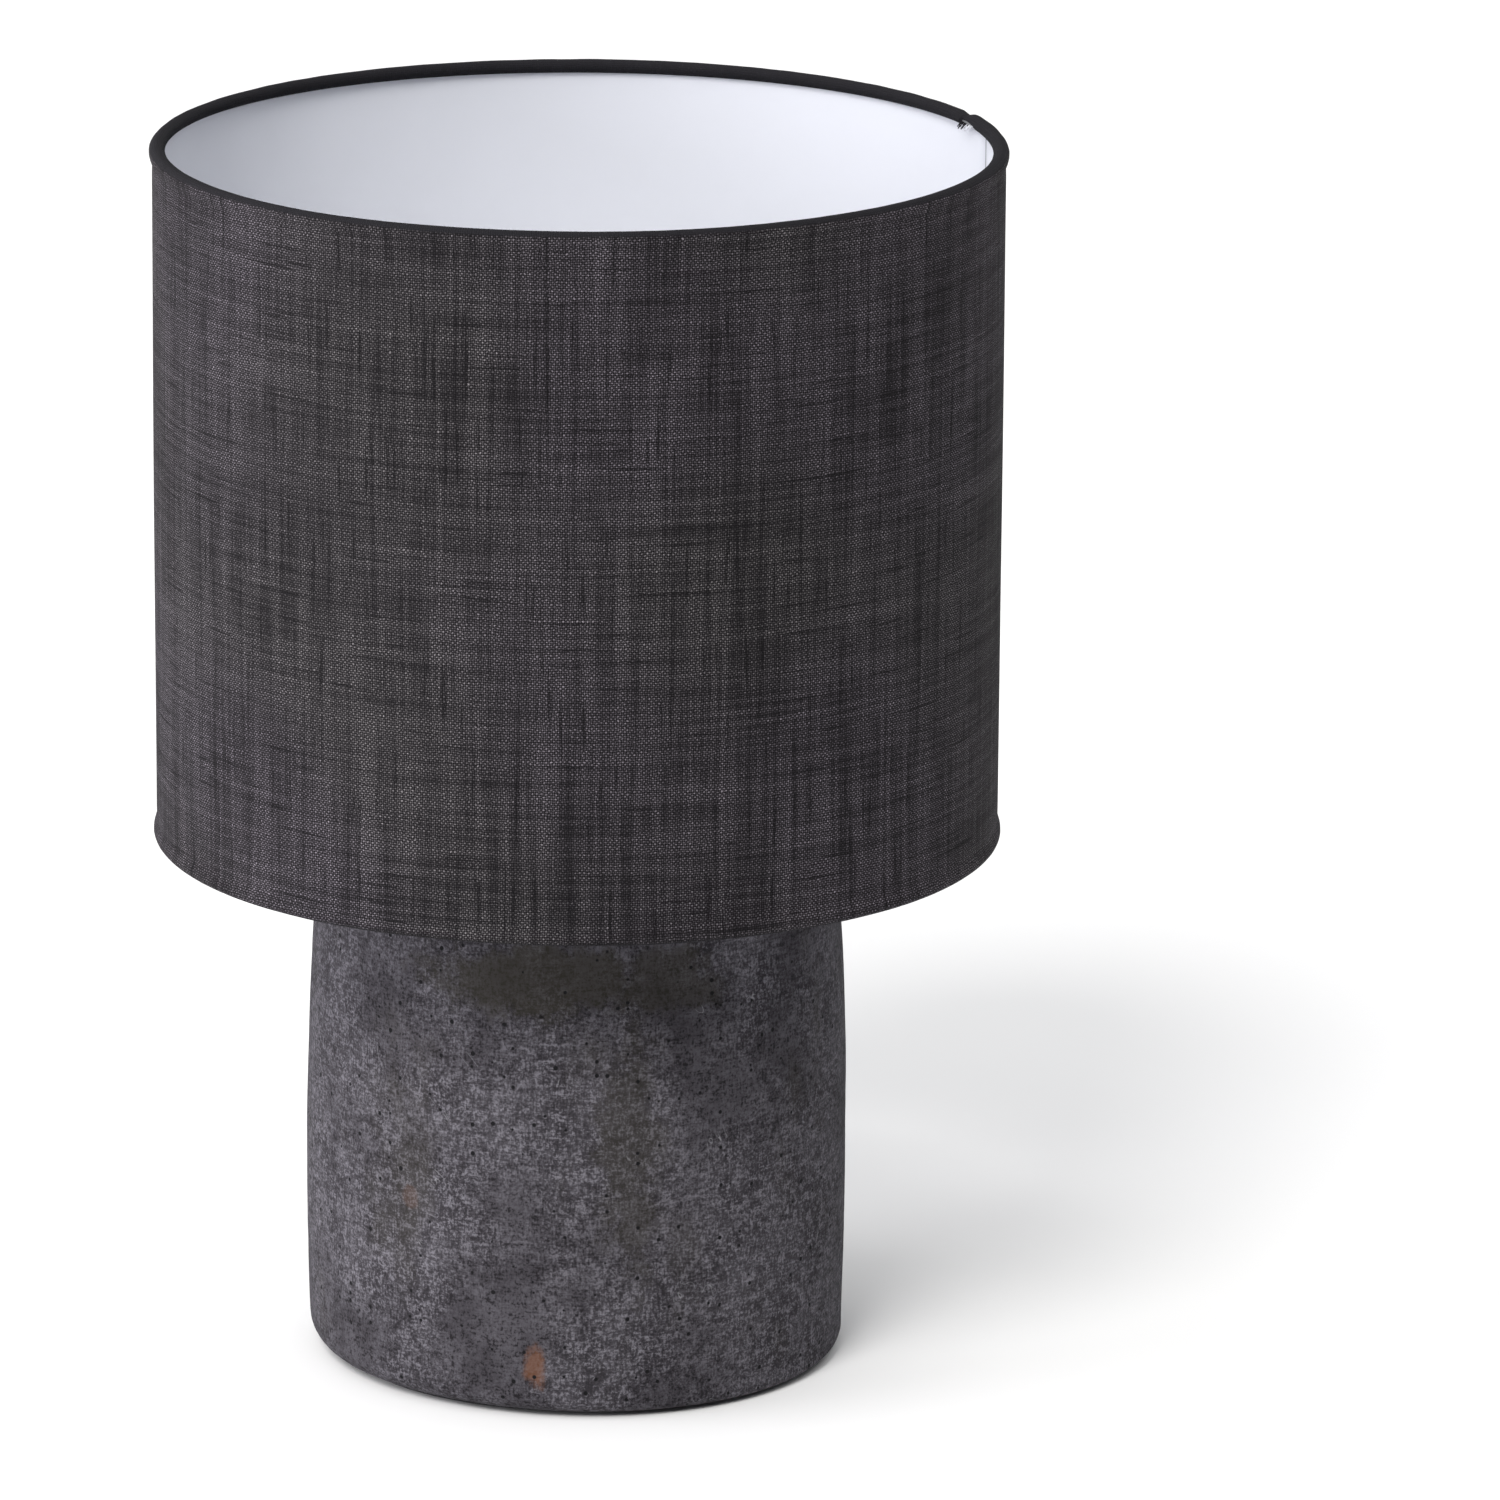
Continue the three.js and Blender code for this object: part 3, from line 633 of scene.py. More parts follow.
def hard_material(groups, name, tint, metallic, roughness, grain=2500.0, relief=0.02 * MM,
                  wear=0.35, coat=0.0):
    """Plastic, ceramic, rubber or metal: one colour with grain, smears and scratches."""
    material, g, surface = new_material(name)
    at = object_place(g)
    marks = g.group(groups["marks"], {"Vector": at, "Grain per metre": grain})
    paler = tuple(min(1.0, c * 1.35 + 0.02) for c in tint)
    darker = tuple(c * 0.78 for c in tint)
    tone = g.mix(g.times(marks.outputs["Smears"], 0.5), tint, darker)
    tone = g.mix(g.times(marks.outputs["Scratches"], wear), tone, paler)
    g.give(surface, {
        "Base Color": tone,
        "Metallic": metallic,
        "Coat Weight": coat,
    })
    rough = g.fused(marks.outputs["Smears"], 0.14, roughness)
    rough = g.fused(marks.outputs["Grain"], 0.06, rough)
    g.feed(surface.inputs["Roughness"], rough)
    relief_height = g.fused(marks.outputs["Scratches"], -0.6, marks.outputs["Grain"])
    g.feed(surface.inputs["Normal"], g.bump(relief_height, relief, 0.8))
    return material, surface


def opal_material(groups):
    """The bulb's milky globe."""
    material, surface = hard_material(
        groups, "Opal diffuser", (0.74, 0.735, 0.71), 0.0, 0.32, 3200.0, wear=0.1)
    for key, value in (("Weight", 0.35), ("Radius", (1.0, 0.9, 0.8)), ("Scale", 4 * MM)):
        surface.inputs["Subsurface " + key].default_value = value
    return material


FINISHES = {}


def finish_all():
    """Builds each finish once. Later operators take them from FINISHES by the record's slot names."""
    scene = bpy.context.scene
    sizes, colours = scene.lamp_sizes, scene.lamp_colours
    groups = {"weave": weave_group(), "marks": marks_group()}

    def hard(name, tint, metallic, roughness, **more):
        return hard_material(groups, name, tint, metallic, roughness, **more)[0]

    FINISHES.update({
        "linen": linen_material(groups, sizes, colours),
        "lining": lining_material(groups, colours),
        "concrete": concrete_material(colours),
        "pad": hard("Foam rubber", (0.030, 0.030, 0.032), 0.0, 0.9, grain=3500.0, relief=0.15 * MM),
        "rubber": hard("Moulded rubber", (0.016, 0.016, 0.017), 0.0, 0.62, relief=0.03 * MM),
        "zinc_steel": hard("Zinc plate", (0.56, 0.57, 0.58), 1.0, 0.30, wear=0.6),
        "white_steel": hard("White powder coat", (0.78, 0.78, 0.76), 0.0, 0.38, grain=1800.0,
                            relief=0.05 * MM),
        "black_plastic": hard("Black thermoplastic", tuple(colours.plastic), 0.0, 0.40,
                              relief=0.03 * MM),
        "ceramic": hard("Steatite", (0.70, 0.67, 0.60), 0.0, 0.55, grain=3000.0, relief=0.04 * MM),
        "brass": hard("Stamped brass", (0.66, 0.47, 0.20), 1.0, 0.28, wear=0.5),
        "nickel": hard("Nickel plate", (0.62, 0.60, 0.57), 1.0, 0.24, wear=0.5),
        "opal": opal_material(groups),
        "bulb_plastic": hard("Satin white", (0.80, 0.80, 0.78), 0.0, 0.38, relief=0.02 * MM),
        "circuit_board": hard("Solder mask", (0.62, 0.66, 0.62), 0.0, 0.35, coat=0.3),
    })


# ---- The shade ----

LAP_ANGLE = math.radians(21.4)          # where the cover's ends lap, seen from above
LINING_LAP_ANGLE = math.radians(13.2)   # where the lining's ends lap
YARN_END_PITCH = math.radians(0.32)     # between two loose yarn ends
WALL_DRIFT = 0.22 * MM                  # how far the cloth's wall waves in and out


def lay_out(obj, start, radius):
    """Gives a turned sheet its flat layout: round the drum from start, and along its outline."""
    mesh = obj.data
    runs = mesh.attributes["run"].data
    layer = mesh.uv_layers.new(name="cloth")
    for face in mesh.polygons:
        middle = (math.atan2(face.center.y, face.center.x) - start) % TURN
        for corner in face.loop_indices:
            index = mesh.loops[corner].vertex_index
            point = mesh.vertices[index].co
            angle = (math.atan2(point.y, point.x) - start) % TURN
            if angle - middle > math.pi:
                angle -= TURN
            elif middle - angle > math.pi:
                angle += TURN
            layer.data[corner].uv = (angle * radius, runs[index].value)


def record_run(obj, outline):
    """Stores on each point how far along the outline it lies, and returns the outline's length."""
    runs = [0.0]
    for last, point in zip(outline, outline[1:]):
        runs.append(runs[-1] + math.dist(last, point))
    attribute = obj.data.attributes.new("run", "FLOAT", "POINT")
    for vertex in obj.data.vertices:
        r, z = math.hypot(vertex.co.x, vertex.co.y), vertex.co.z
        nearest = min(range(len(outline)), key=lambda i: math.dist(outline[i], (r, z)))
        attribute.data[vertex.index].value = runs[nearest]
    return runs[-1]


def lap(sheet, start, steps, step, fade, radius):
    """Pulls two columns of a sheet together at start, and lifts the side that lies on top."""
    pitch = TURN / steps
    before = math.floor(start / pitch) * pitch
    tight = 0.25 * MM / radius

    def move(r, a, z):
        if abs(a - before) < pitch * 0.25:
            a = start - tight
        elif abs(a - before - pitch) < pitch * 0.25:
            a = start + tight
        behind = (start - a) % TURN
        if behind < fade:
            r += step * (1 - behind / fade) ** 1.5
        return r, a, z

    reshape(sheet, move)


class LAMP_OT_cover(bpy.types.Operator):
    """Spins the linen cover with its rolled edges, laps its ends and gives the cloth its thickness"""
    bl_idname = "lamp.cover"
    bl_label = "Linen cover"

    def execute(self, context):
        sizes = context.scene.lamp_sizes
        low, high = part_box("shade_cover")
        outer = high.x
        wall = outer - sizes.roll_bulge
        radii = (sizes.roll_depth / 2, sizes.roll_height / 2)
        ring = outer - radii[0]
        crease = 0.12 * MM
        shoulder = 3.0 * MM

        def edge(centre, up):
            """Wall to tuck: a crease, the bulge outside, then round the wire."""
            side = [
                (wall, -shoulder - 4 * MM),
                (wall - crease * 0.4, -shoulder - 1.6 * MM),
                (wall - crease, -shoulder - 0.5 * MM),
                (wall + sizes.roll_bulge * 0.30, -shoulder * 0.80),
                (wall + sizes.roll_bulge * 0.68, -shoulder * 0.52),
                (wall + sizes.roll_bulge * 0.94, -shoulder * 0.22),
            ]
            points = side + arc((ring, 0.0), radii, 8, 250, 15)
            return [(r, centre + up * z) for r, z in points]

        upper = edge(high.z - radii[1], 1)
        lower = edge(low.z + radii[1], -1)
        lower.reverse()
        outline = lower + straight(lower[-1], upper[0], 40) + upper
        steps = 288
        cover = turned("linen_cover", outline, steps, closed=False)
        # The order of faces isn't the same each run, so a face of the wall is found by its height.
        face = min(cover.data.polygons, key=lambda f: abs(f.center.z - (low.z + high.z) / 2))
        if face.normal.dot(face.center * Vector((1, 1, 0))) < 0:
            cover.data.flip_normals()
        run = record_run(cover, outline)
        lap(cover, LAP_ANGLE, steps, sizes.lap_step, sizes.lap_length / wall, wall)
        middle = (low.z + high.z) / 2
        half = (high.z - low.z) / 2

        def settle(r, a, z):
            """Slow waves all round, and small lumps where the cloth is rolled over the wire."""
            edge_share = max(0.0, abs(z - middle) / half - 0.97) / 0.03
            way = Vector((math.cos(a), math.sin(a), 0.0))
            slow = noise.noise(way * 1.6 + Vector((0, 0, z * 9)))
            lumps = noise.noise(way * 16 + Vector((5, 2, z * 60)))
            fine = noise.noise(way * 60 + Vector((1, 8, z * 200)))
            from_lap = (a - LAP_ANGLE) * wall
            notch = edge_share * sizes.notch * math.exp(-(from_lap / sizes.notch / 3) ** 2)
            r += WALL_DRIFT * slow + edge_share * (0.11 * lumps + 0.05 * fine) * MM - notch * 0.5
            z += edge_share * (0.16 * noise.noise(way * 2.3 + Vector((9, 9, 0))) + 0.08 * lumps) * MM
            z -= math.copysign(notch, z - middle)
            return r, a, z

        reshape(cover, settle)
        lay_out(cover, LAP_ANGLE, wall)
        apply_modifier(cover, "SOLIDIFY", thickness=sizes.cloth, offset=-1.0)
        finished(cover, "shade", "linen", "shade_cover", degrees=60)
        self.fray("loose_yarns", "linen", LAP_ANGLE - math.radians(1.0), 9, 0.16 * MM, sizes)
        self.fray("loose_fibres", "lining", LAP_ANGLE - math.radians(2.6), 7, 0.12 * MM, sizes)
        return {"FINISHED"}

    def fray(self, name, slot, angle, count, thick, sizes):
        """A few yarn ends curling out under the top roll where its ends meet."""
        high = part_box("shade_cover")[1]
        inside = high.x - sizes.roll_depth
        ends = []
        for number in range(count):
            turn = angle + YARN_END_PITCH * (number - count / 2)
            curl = math.sin(number * 2.4)
            drop = 1.5 + 0.5 * math.cos(number * 1.7)
            points = []
            for step in range(6):
                share = step / 5
                r = inside + (0.9 - 1.5 * share + 0.5 * curl * share ** 2) * MM
                bend = turn + math.radians(0.5) * curl * share ** 2
                z = high.z - sizes.roll_height * 0.62 - drop * share ** 1.4 * MM
                points.append((r * math.cos(bend), r * math.sin(bend), z))
            ends.append(wire(f"{name}_{number}", points, thick, 2))
        tuft = joined(ends)
        tuft.name = name
        tuft.data.uv_layers.new(name="cloth")
        finished(tuft, "shade", slot)


class LAMP_OT_lining(bpy.types.Operator):
    """Spins the stiff white lining inside the cover, with its overlap"""
    bl_idname = "lamp.lining"
    bl_label = "Lining"

    def execute(self, context):
        sizes = context.scene.lamp_sizes
        low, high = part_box("shade_lining")
        inner = high.x - 0.5 * MM
        outline = [(inner, low.z)] + straight((inner, low.z), (inner, high.z), 12) + [(inner, high.z)]
        steps = 192
        lining = turned("film_lining", outline, steps, closed=False)
        face = lining.data.polygons[0]
        if face.normal.dot(face.center * Vector((1, 1, 0))) > 0:
            lining.data.flip_normals()
        record_run(lining, outline)
        lap(lining, LINING_LAP_ANGLE, steps, -sizes.film, 30 * MM / inner, inner)
        lay_out(lining, LINING_LAP_ANGLE, inner)
        apply_modifier(lining, "SOLIDIFY", thickness=sizes.film, offset=-1.0)
        finished(lining, "shade", "lining", "shade_lining", degrees=60)
        return {"FINISHED"}


# ---- The base ----

FRONT_RIGHT = math.radians(315)         # where the foot's rounding is at its sharpest


class LAMP_OT_base(bpy.types.Operator):
    """Spins the hollow casting, weathers it and opens the air holes and the cord hole in it"""
    bl_idname = "lamp.base"
    bl_label = "Cast base"

    def execute(self, context):
        sizes = context.scene.lamp_sizes
        low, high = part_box("base_shell")
        wall = sizes.base_wall
        belly, foot, neck = high.x, high.x - 0.7 * MM, high.x - 3.2 * MM
        belly_z = low.z + 65.5 * MM
        foot_r, shoulder_r = sizes.foot_rounding, sizes.shoulder_rounding
        foot_z, shoulder_z = low.z + foot_r, high.z - shoulder_r
        tube_hole = 5.4 * MM
        ceiling = high.z - 10 * MM
        inner_shoulder = shoulder_r - 6 * MM

        def side(z):
            edge, span = (foot, belly_z - foot_z) if z < belly_z else (neck, shoulder_z - belly_z)
            return belly - (belly - edge) * ((z - belly_z) / span) ** 2

        def sides(start, end, steps, inset=0.0):
            heights = [start + (end - start) * i / steps for i in range(1, steps)]
            return [(side(z) - inset, z) for z in heights]

        outline = [
            (foot - wall, low.z),
            (foot - wall + 2 * MM, low.z),
            *arc((foot - foot_r, foot_z), (foot_r, foot_r), -90, 0, 8),
            *sides(foot_z, shoulder_z, 70),
            *arc((neck - shoulder_r, shoulder_z), (shoulder_r, shoulder_r), 0, 90, 10),
            *straight((neck - shoulder_r, high.z), (tube_hole, high.z), 12),
            (tube_hole, high.z),
            (tube_hole, ceiling),
            *straight((tube_hole, ceiling), (neck - wall - inner_shoulder, ceiling), 8),
            *arc((neck - wall - inner_shoulder, ceiling - inner_shoulder),
                 (inner_shoulder, inner_shoulder), 90, 0, 5),
            *sides(ceiling - inner_shoulder, low.z, 24, wall),
        ]
        base = turned("cast_base", outline, 288)
        rim = low.z + 1.0 * MM

        def weather(r, a, z):
            """A hand-smoothed casting: slow hollows and swells, and a foot left sharper on one side."""
            if r > foot - foot_r - 0.01 * MM and z < foot_z:
                sharp = 1 - 0.75 * max(0.0, math.cos(a - FRONT_RIGHT)) ** 2
                across, up = (r - foot + foot_r) / foot_r, (z - foot_z) / foot_r
                r = foot + (across - 1) * foot_r * sharp
                z = low.z + (up + 1) * foot_r * sharp
            way = Vector((math.cos(a), math.sin(a), 0.0)) * r
            away = min(1.0, max(0.0, (z - rim) / (8 * MM)))
            slow = noise.noise(way * 16 + Vector((3, 1, z * 14)))
            hand = noise.noise(way * 55 + Vector((0, 4, z * 48)))
            fine = noise.noise(way * 230 + Vector((6, 0, z * 230)))
            return r + away * (0.42 * slow + 0.15 * hand + 0.05 * fine) * MM, a, z

        reshape(base, weather)

        # The cord's hole at the back, and the air holes: small balls cut out of the skin.
        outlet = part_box("cord_grommet")
        centre = (outlet[0] + outlet[1]) / 2
        select_only()
        bpy.ops.mesh.primitive_cylinder_add(
            vertices=48, radius=5.8 * MM, depth=40 * MM, location=(0, belly - 4 * MM, centre.z),
            rotation=(math.pi / 2, 0, 0))
        settled()
        cut_out(base, bpy.context.object)
        noise.seed_set(41)
        balls = []
        for i in range(sizes.pits):
            spot = noise.random_vector()
            angle = math.atan2(spot.y, spot.x)
            z = low.z + (0.5 + 0.5 * spot.z) * (shoulder_z - low.z)
            size = (0.32 + 0.55 * noise.random() ** 3) * MM
            r = side(max(z, foot_z)) + 0.1 * MM
            select_only()
            bpy.ops.mesh.primitive_ico_sphere_add(
                subdivisions=2, radius=size, location=(r * math.cos(angle), r * math.sin(angle), z),
                rotation=(0, 0, angle))
            ball = bpy.context.object
            ball.scale = (1.0, 0.7 + 0.6 * noise.random(), 0.7 + 0.5 * noise.random())
            balls.append(ball)
        cut_out(base, joined(balls))
        finished(base, "base", "concrete", "base_shell", degrees=50)

        foot_low, foot_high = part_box("foot_ring")
        foot_inner = foot - wall + 0.6 * MM
        ring = turned("foam_foot", rounded([
            (foot_inner, foot_low.z), (foot_high.x, foot_low.z),
            (foot_high.x, foot_high.z), (foot_inner, foot_high.z)], 0.5 * MM), 160)
        finished(ring, "base", "pad", "foot_ring")
        return {"FINISHED"}


class LAMP_OT_outlet(bpy.types.Operator):
    """Turns the rubber bush of the cord outlet and sets it in the back of the base"""
    bl_idname = "lamp.outlet"
    bl_label = "Cord outlet"

    def execute(self, context):
        low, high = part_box("cord_grommet")
        centre = (low + high) / 2
        lip, bore, sleeve, lip_depth = high.x, 4.0 * MM, 5.4 * MM, 1.8 * MM
        outline = rounded([
            (bore, low.y), (lip - 1 * MM, low.y), (lip, low.y + lip_depth), (sleeve, low.y + lip_depth),
            (sleeve, high.y - lip_depth), (lip, high.y - lip_depth), (lip - 1 * MM, high.y),
            (bore, high.y)], 0.6 * MM)
        bush = turned("outlet_bush", outline, 64)
        bush.matrix_world = Matrix.Translation((0, 0, centre.z)) @ Matrix.Rotation(-math.pi / 2, 4, "X")
        select_only(bush)
        settled()
        finished(bush, "base", "rubber", "cord_grommet")
        return {"FINISHED"}


# ---- The lampholder and its hardware ----

def thread_wave(r, a, z, start, end, pitch, depth):
    """A round helical thread that fades in and out at its ends."""
    if not start < z < end:
        return r
    fade = min(1.0, (z - start) / pitch, (end - z) / pitch)
    wave = 0.5 + 0.5 * math.cos(TURN * (z / pitch) - a)
    return r - depth * (1 - wave * fade)


class LAMP_OT_holder(bpy.types.Operator):
    """Turns the lampholder's cap, threaded skirt and screw shell"""
    bl_idname = "lamp.holder"
    bl_label = "Lampholder"

    def execute(self, context):
        low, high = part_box("holder_cap")
        r = high.x
        cap = turned("holder_cup", rounded([
            (5.4 * MM, low.z), (9 * MM, low.z), (9 * MM, low.z + 4.4 * MM),
            (15.2 * MM, low.z + 7.6 * MM),
            (18.3 * MM, low.z + 12 * MM), (r, low.z + 17 * MM), (r, high.z), (r - 2 * MM, high.z),
            (r - 2 * MM, low.z + 16 * MM), (13 * MM, low.z + 8.2 * MM), (5.4 * MM, low.z + 7 * MM)],
            1.2 * MM, 4), 96)
        finished(cap, "base", "black_plastic", "holder_cap")

        low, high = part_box("holder_skirt")
        crest, flange = 19.7 * MM, high.x
        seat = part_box("fitter_ring")[0].z - GAP
        inner, sleeve = 16.9 * MM, 19.4 * MM
        step_z = low.z + 10 * MM
        thread_low, thread_high = seat + 1.0 * MM, high.z - 1.5 * MM
        rows = straight((crest, thread_low), (crest, thread_high), 64)
        skirt = turned("threaded_skirt", [
            *rounded([(sleeve, low.z), (sleeve + 2 * MM, low.z), (sleeve + 2 * MM, seat - 2.4 * MM),
                      (flange, seat - 2.4 * MM), (flange, seat), (crest - 0.5 * MM, seat)],
                     0.4 * MM)[2:-2],
            (crest, thread_low), *rows, (crest, thread_high), (crest - 0.6 * MM, high.z - 0.6 * MM),
            (crest - 1.2 * MM, high.z), (inner + 0.5 * MM, high.z), (inner, high.z - 0.5 * MM),
            (inner, step_z + 0.3 * MM), (sleeve, step_z)], 96)

        def threaded(r, a, z):
            if r > crest - 0.05 * MM and z > seat + 0.5 * MM:
                r = thread_wave(r, a, z, thread_low, thread_high, SHADE_THREAD, 0.5 * MM)
            return r, a, z

        reshape(skirt, threaded)
        finished(skirt, "base", "black_plastic", "holder_skirt")

        low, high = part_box("screw_shell")
        outer, sheet = high.x, 0.35 * MM
        rows = straight((outer, low.z), (outer, high.z), 72)
        back = [(r - sheet, z) for r, z in reversed(rows)]
        shell = turned("shell_thread", [
            (outer, low.z), *rows, (outer, high.z), (outer - sheet, high.z), *back,
            (outer - sheet, low.z)], 72)
        reshape(shell, lambda r, a, z: (
            thread_wave(r, a, z, low.z, high.z, SCREW_SHELL_THREAD, 0.6 * MM), a, z))
        finished(shell, "base", "brass", "screw_shell")
        return {"FINISHED"}


class LAMP_OT_hardware(bpy.types.Operator):
    """Bevels and finishes the tube, nut, washers, screws, contacts and boards, and the wire rings"""
    bl_idname = "lamp.hardware"
    bl_label = "Small hardware"

    def execute(self, context):
        record = frame["record"]
        slots = {part["node"]: part["material_slot"] for part in record["subparts"]}
        bodies = {n: b for b, nodes in record["behaviour"]["bodies"].items() for n in nodes}
        bevels = {"contact_block": 0.5 * MM, "lock_nut": 0.35 * MM, "driver_board": 0.1 * MM}
        for node in (
                "threaded_tube", "lock_nut", "lower_washer", "top_washer", "cap_grub_screw",
                "contact_block", "live_terminal_screw", "neutral_terminal_screw", "centre_contact",
                "side_contact", "bulb_contact", "bulb_insulator", "led_board", "driver_board",
                "top_wire_ring", "lower_wire_ring"):
            piece = refined(node + "_fine", node, bevels.get(node, 0.15 * MM))
            finished(piece, bodies[node], slots[node], node)
        return {"FINISHED"}


class LAMP_OT_fitter(bpy.types.Operator):
    """Turns the fitter and the shade ring, and bends the spokes that carry the shade"""
    bl_idname = "lamp.fitter"
    bl_label = "Fitter and shade ring"

    def execute(self, context):
        low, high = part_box("fitter_ring")
        hole = 20.2 * MM
        washer = turned("fitter_washer", rounded([
            (hole, low.z), (high.x, low.z), (high.x, high.z), (hole, high.z)], 0.4 * MM), 128)
        finished(washer, "shade", "white_steel", "fitter_ring")

        thick = 1.5 * MM
        low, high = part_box("fitter_spoke_1")
        straight_z, tip = high.z - thick, (high.y - 0.2 * MM, low.z + thick + 0.1 * MM)
        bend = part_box("fitter_ring")[1].x + 3.5 * MM
        route = [(0.0, y, z) for y, z in (
            (low.y, straight_z), (bend - 6 * MM, straight_z), (bend, straight_z - 0.4 * MM),
            (bend + 6 * MM, straight_z - 2.4 * MM), tip)]
        for number in range(3):
            spoke = wire(f"spoke_wire_{number + 1}", route, thick, 6, number * TURN / 3)
            finished(spoke, "shade", "white_steel", f"fitter_spoke_{number + 1}", degrees=50)

        low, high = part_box("shade_ring")
        inner, outer = 19.95 * MM, 23.4 * MM
        grip_low, grip_high = low.z + 3.0 * MM, high.z - 0.6 * MM
        rows = straight((outer, grip_low), (outer, grip_high), 6)
        rib = 0.45 * MM
        root = inner + rib
        threads = straight((root, high.z - 0.8 * MM), (root, low.z + 0.8 * MM), 24)
        ring = turned("clamp_ring", [
            (root, low.z), (high.x - 0.4 * MM, low.z), (high.x, low.z + 0.4 * MM),
            (high.x, low.z + 1.8 * MM), (high.x - 0.5 * MM, low.z + 2.2 * MM),
            (outer + 0.8 * MM, low.z + 2.4 * MM), (outer, grip_low), *rows, (outer, grip_high),
            (outer - 0.6 * MM, high.z), (inner + 0.7 * MM, high.z), *threads], 192)

        def grip(r, a, z):
            """Ribs round the outside for the fingers, and the thread inside."""
            if r > outer - 0.05 * MM and grip_low - 0.1 * MM < z < grip_high + 0.1 * MM:
                return r + rib * math.cos(a * 24), a, z
            if r < inner + 0.5 * MM:
                return inner + rib * (0.5 + 0.5 * math.cos(TURN * z / SHADE_THREAD - a)), a, z
            return r, a, z

        reshape(ring, grip)
        finished(ring, "ring", "black_plastic", "shade_ring")
        return {"FINISHED"}


class LAMP_OT_bulb(bpy.types.Operator):
    """Turns the bulb's globe, body and screw cap"""
    bl_idname = "lamp.bulb"
    bl_label = "Bulb"

    def execute(self, context):
        low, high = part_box("bulb_globe")
        radius, wall = 30 * MM, 1.2 * MM
        centre = high.z - radius
        sink = math.degrees(math.asin((centre - low.z) / radius))
        inner_sink = math.degrees(math.asin((centre - low.z) / (radius - wall)))
        outside = arc((0, centre), (radius, radius), -sink, 90, 40)
        inside = arc((0, centre), (radius - wall, radius - wall), 90, -inner_sink, 30)
        outside[-1] = (0.0, outside[-1][1])
        inside[0] = (0.0, inside[0][1])
        globe = turned("opal_globe", outside + inside, 128)
        finished(globe, "bulb", "opal", "bulb_globe", degrees=60)

        low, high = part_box("bulb_body")
        rim, neck = radius * math.cos(math.radians(sink)), 13.9 * MM
        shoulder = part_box("bulb_cap")[1].z + GAP
        spigot = 11.7 * MM
        swell = []
        for i in range(25):
            share = i / 24
            swell.append((neck + (rim - neck) * math.sin(share * math.pi / 2),
                          shoulder + (high.z - shoulder) * share))
        swell[-1] = (swell[-1][0] - 0.15 * MM, swell[-1][1])
        body = turned("bulb_shell", [
            (spigot - 1.8 * MM, low.z), (spigot, low.z), (spigot, shoulder), (neck - 0.5 * MM, shoulder),
            (neck, shoulder + 0.5 * MM), *swell[1:],
            (rim - 2 * MM, high.z), (rim - 2 * MM, high.z - 2 * MM),
            (rim - 4 * MM, high.z - 2 * MM), (19 * MM, shoulder + 14 * MM),
            (spigot - 1.8 * MM, shoulder + 2 * MM)], 128)
        finished(body, "bulb", "bulb_plastic", "bulb_body")

        low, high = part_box("bulb_cap")
        crest, sheet, depth = high.x, 0.35 * MM, 0.65 * MM
        thread_top = high.z - 4.5 * MM
        rows = straight((crest, low.z), (crest, thread_top), 72)
        skirt = [(crest, thread_top), (crest, thread_top + 0.8 * MM), (crest, high.z - 0.8 * MM)]
        wall_points = [(crest - 0.5 * MM, low.z), *rows, *skirt, (crest, high.z)]
        back = [(r - sheet, z) for r, z in reversed(wall_points)]
        cap = turned("bulb_screw_cap", wall_points + back, 96)

        def screw(r, a, z):
            if low.z < z < thread_top:
                end = thread_top + SCREW_SHELL_THREAD
                return thread_wave(r, a, z, low.z, end, SCREW_SHELL_THREAD, depth), a, z
            return (r - depth if z > thread_top + 0.4 * MM or z <= low.z else r - depth * 0.7), a, z

        reshape(cap, screw)
        finished(cap, "bulb", "nickel", "bulb_cap")
        return {"FINISHED"}


# ---- The stage ----

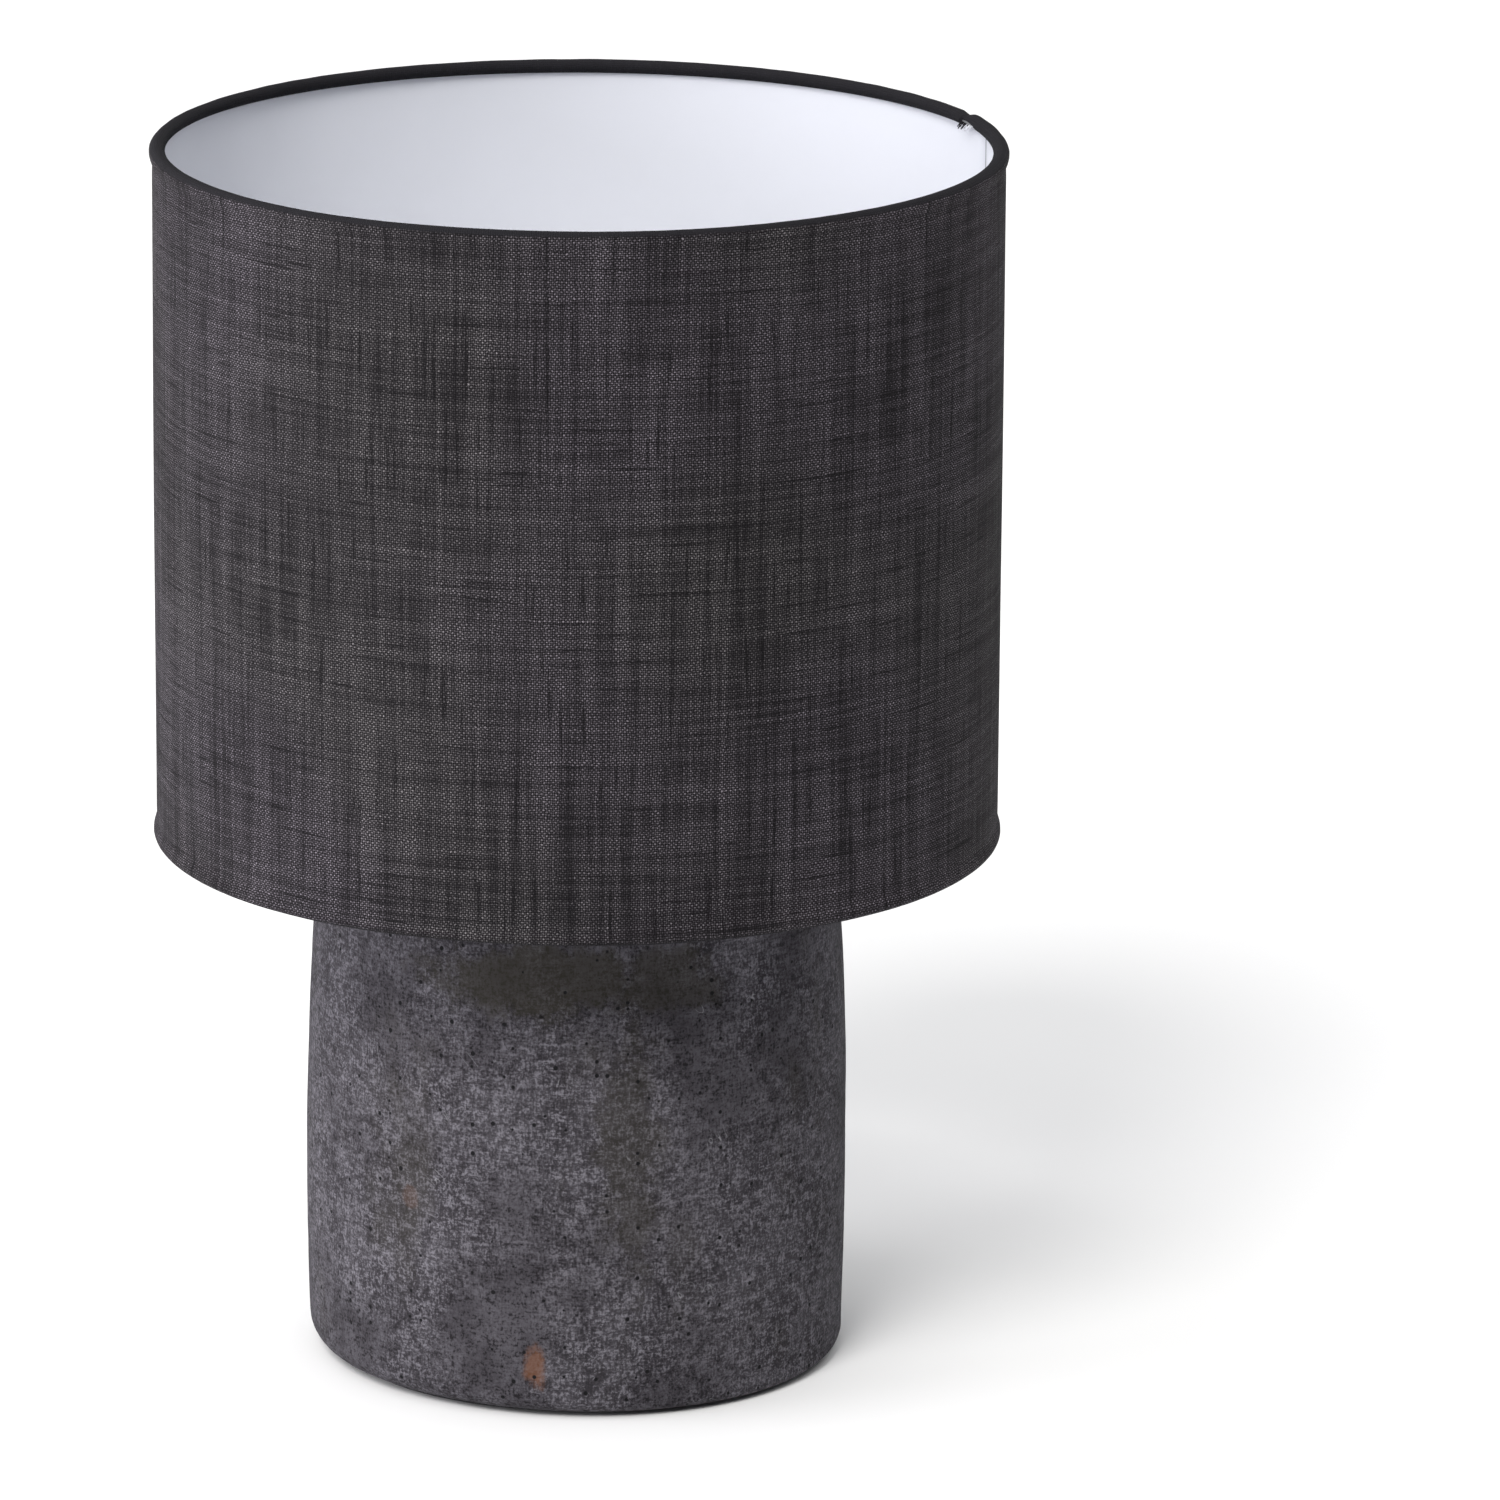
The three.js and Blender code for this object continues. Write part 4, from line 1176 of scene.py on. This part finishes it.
class LAMP_OT_stage(bpy.types.Operator):
    """Sets up the camera, the pale floor and the studio light"""
    bl_idname = "lamp.stage"
    bl_label = "Stage"

    def execute(self, context):
        scene = context.scene
        distance, height = 3.02463, 0.99648              # metres in front of the lamp and up
        pitch, yaw, roll = 0.26270, -0.01692, 0.00724    # radians
        lens, middle = 253.05, Vector((0, 0, 0.18))      # millimetres, and the lamp's middle
        select_only()
        bpy.ops.object.camera_add()
        camera = context.object
        camera.name = "studio_camera"
        camera.matrix_world = (
            Matrix.Translation((0, -distance, height)) @ Matrix.Rotation(yaw, 4, "Z")
            @ Matrix.Rotation(math.pi / 2 - pitch, 4, "X") @ Matrix.Rotation(roll, 4, "Z"))
        camera.data.sensor_width = 36.0
        camera.data.lens = lens
        camera.data.clip_start, camera.data.clip_end = 0.05, 60.0
        scene.camera = camera

        select_only()
        bpy.ops.mesh.primitive_plane_add(size=24.0, location=(0, 0, 0))
        floor = context.object
        floor.name = "pale_floor"
        material, g, surface = new_material("Pale floor")
        at = object_place(g)
        tone = g.mix(g.times(g.noise(at, 3.0, 3.0), 0.03), tuple(scene.lamp_colours.floor),
                     (0.80, 0.80, 0.80))
        g.feed(surface.inputs["Base Color"], tone)
        surface.inputs["Roughness"].default_value = 0.7
        surface.inputs["Specular IOR Level"].default_value = 0.1
        clear = g.add("ShaderNodeBsdfTransparent")
        behind = g.add("ShaderNodeNewGeometry").outputs["Backfacing"]
        both = g.add("ShaderNodeMixShader", {0: behind, 1: surface.outputs[0], 2: clear.outputs[0]})
        output = next(n for n in material.node_tree.nodes if n.type == "OUTPUT_MATERIAL")
        g.feed(output.inputs["Surface"], both.outputs[0])
        floor.data.materials.append(material)

        world = bpy.data.worlds.new("Studio")
        scene.world = world
        world.use_nodes = True
        background = next(n for n in world.node_tree.nodes if n.type == "BACKGROUND")
        background.inputs["Color"].default_value = (0.94, 0.96, 1.0, 1.0)
        background.inputs["Strength"].default_value = 0.12
        scene.view_settings.view_transform = "Standard"

        def light(kind, name, place, power, tint, **shape):
            """A light at a place, aimed at the middle of the lamp."""
            select_only()
            bpy.ops.object.light_add(type=kind, location=place)
            made = context.object
            made.name = name
            made.rotation_euler = (middle - Vector(place)).to_track_quat("-Z", "Y").to_euler()
            made.data.energy, made.data.color = power, tint
            for key, value in shape.items():
                setattr(made.data, key, value)

        light("SUN", "key", (-1.19, -2.67, 2.9), 2.1, (1.0, 0.985, 0.965), angle=math.radians(24))
        light("SUN", "overhead_bank", (-0.35, 0.0, 3.0), 2.4, (1.0, 1.0, 1.0), angle=math.radians(120))
        light("AREA", "left_softbox", (-2.0, -0.35, 0.32), 46.0, (0.97, 0.96, 1.0),
              shape="DISK", size=1.5)
        return {"FINISHED"}


class LAMP_PT_panel(bpy.types.Panel):
    """Lists the lamp's operators, sizes and colours"""
    bl_idname = "LAMP_PT_panel"
    bl_label = "Linen Drum Lamp"
    bl_space_type = "VIEW_3D"
    bl_region_type = "UI"
    bl_category = "Lamp"

    def draw(self, context):
        layout = self.layout
        for operator in OPERATORS:
            layout.operator(operator.bl_idname)
        for group in (context.scene.lamp_sizes, context.scene.lamp_colours):
            column = layout.column()
            for name in group.__annotations__:
                column.prop(group, name)


OPERATORS = (
    LAMP_OT_stage,
    LAMP_OT_cover,
    LAMP_OT_lining,
    LAMP_OT_base,
    LAMP_OT_outlet,
    LAMP_OT_holder,
    LAMP_OT_hardware,
    LAMP_OT_fitter,
    LAMP_OT_bulb,
)
CLASSES = (LampSizes, LampColours, LAMP_PT_panel, *OPERATORS)


def register():
    for cls in CLASSES:
        bpy.utils.register_class(cls)
    bpy.types.Scene.lamp_sizes = PointerProperty(type=LampSizes)
    bpy.types.Scene.lamp_colours = PointerProperty(type=LampColours)


def unregister():
    del bpy.types.Scene.lamp_colours
    del bpy.types.Scene.lamp_sizes
    for cls in reversed(CLASSES):
        bpy.utils.unregister_class(cls)


def main():
    register()
    finish_all()
    bpy.ops.lamp.stage()
    bpy.ops.lamp.cover()
    bpy.ops.lamp.lining()
    bpy.ops.lamp.base()
    bpy.ops.lamp.outlet()
    bpy.ops.lamp.holder()
    bpy.ops.lamp.hardware()
    bpy.ops.lamp.fitter()
    bpy.ops.lamp.bulb()


if __name__ == "__main__":
    main()
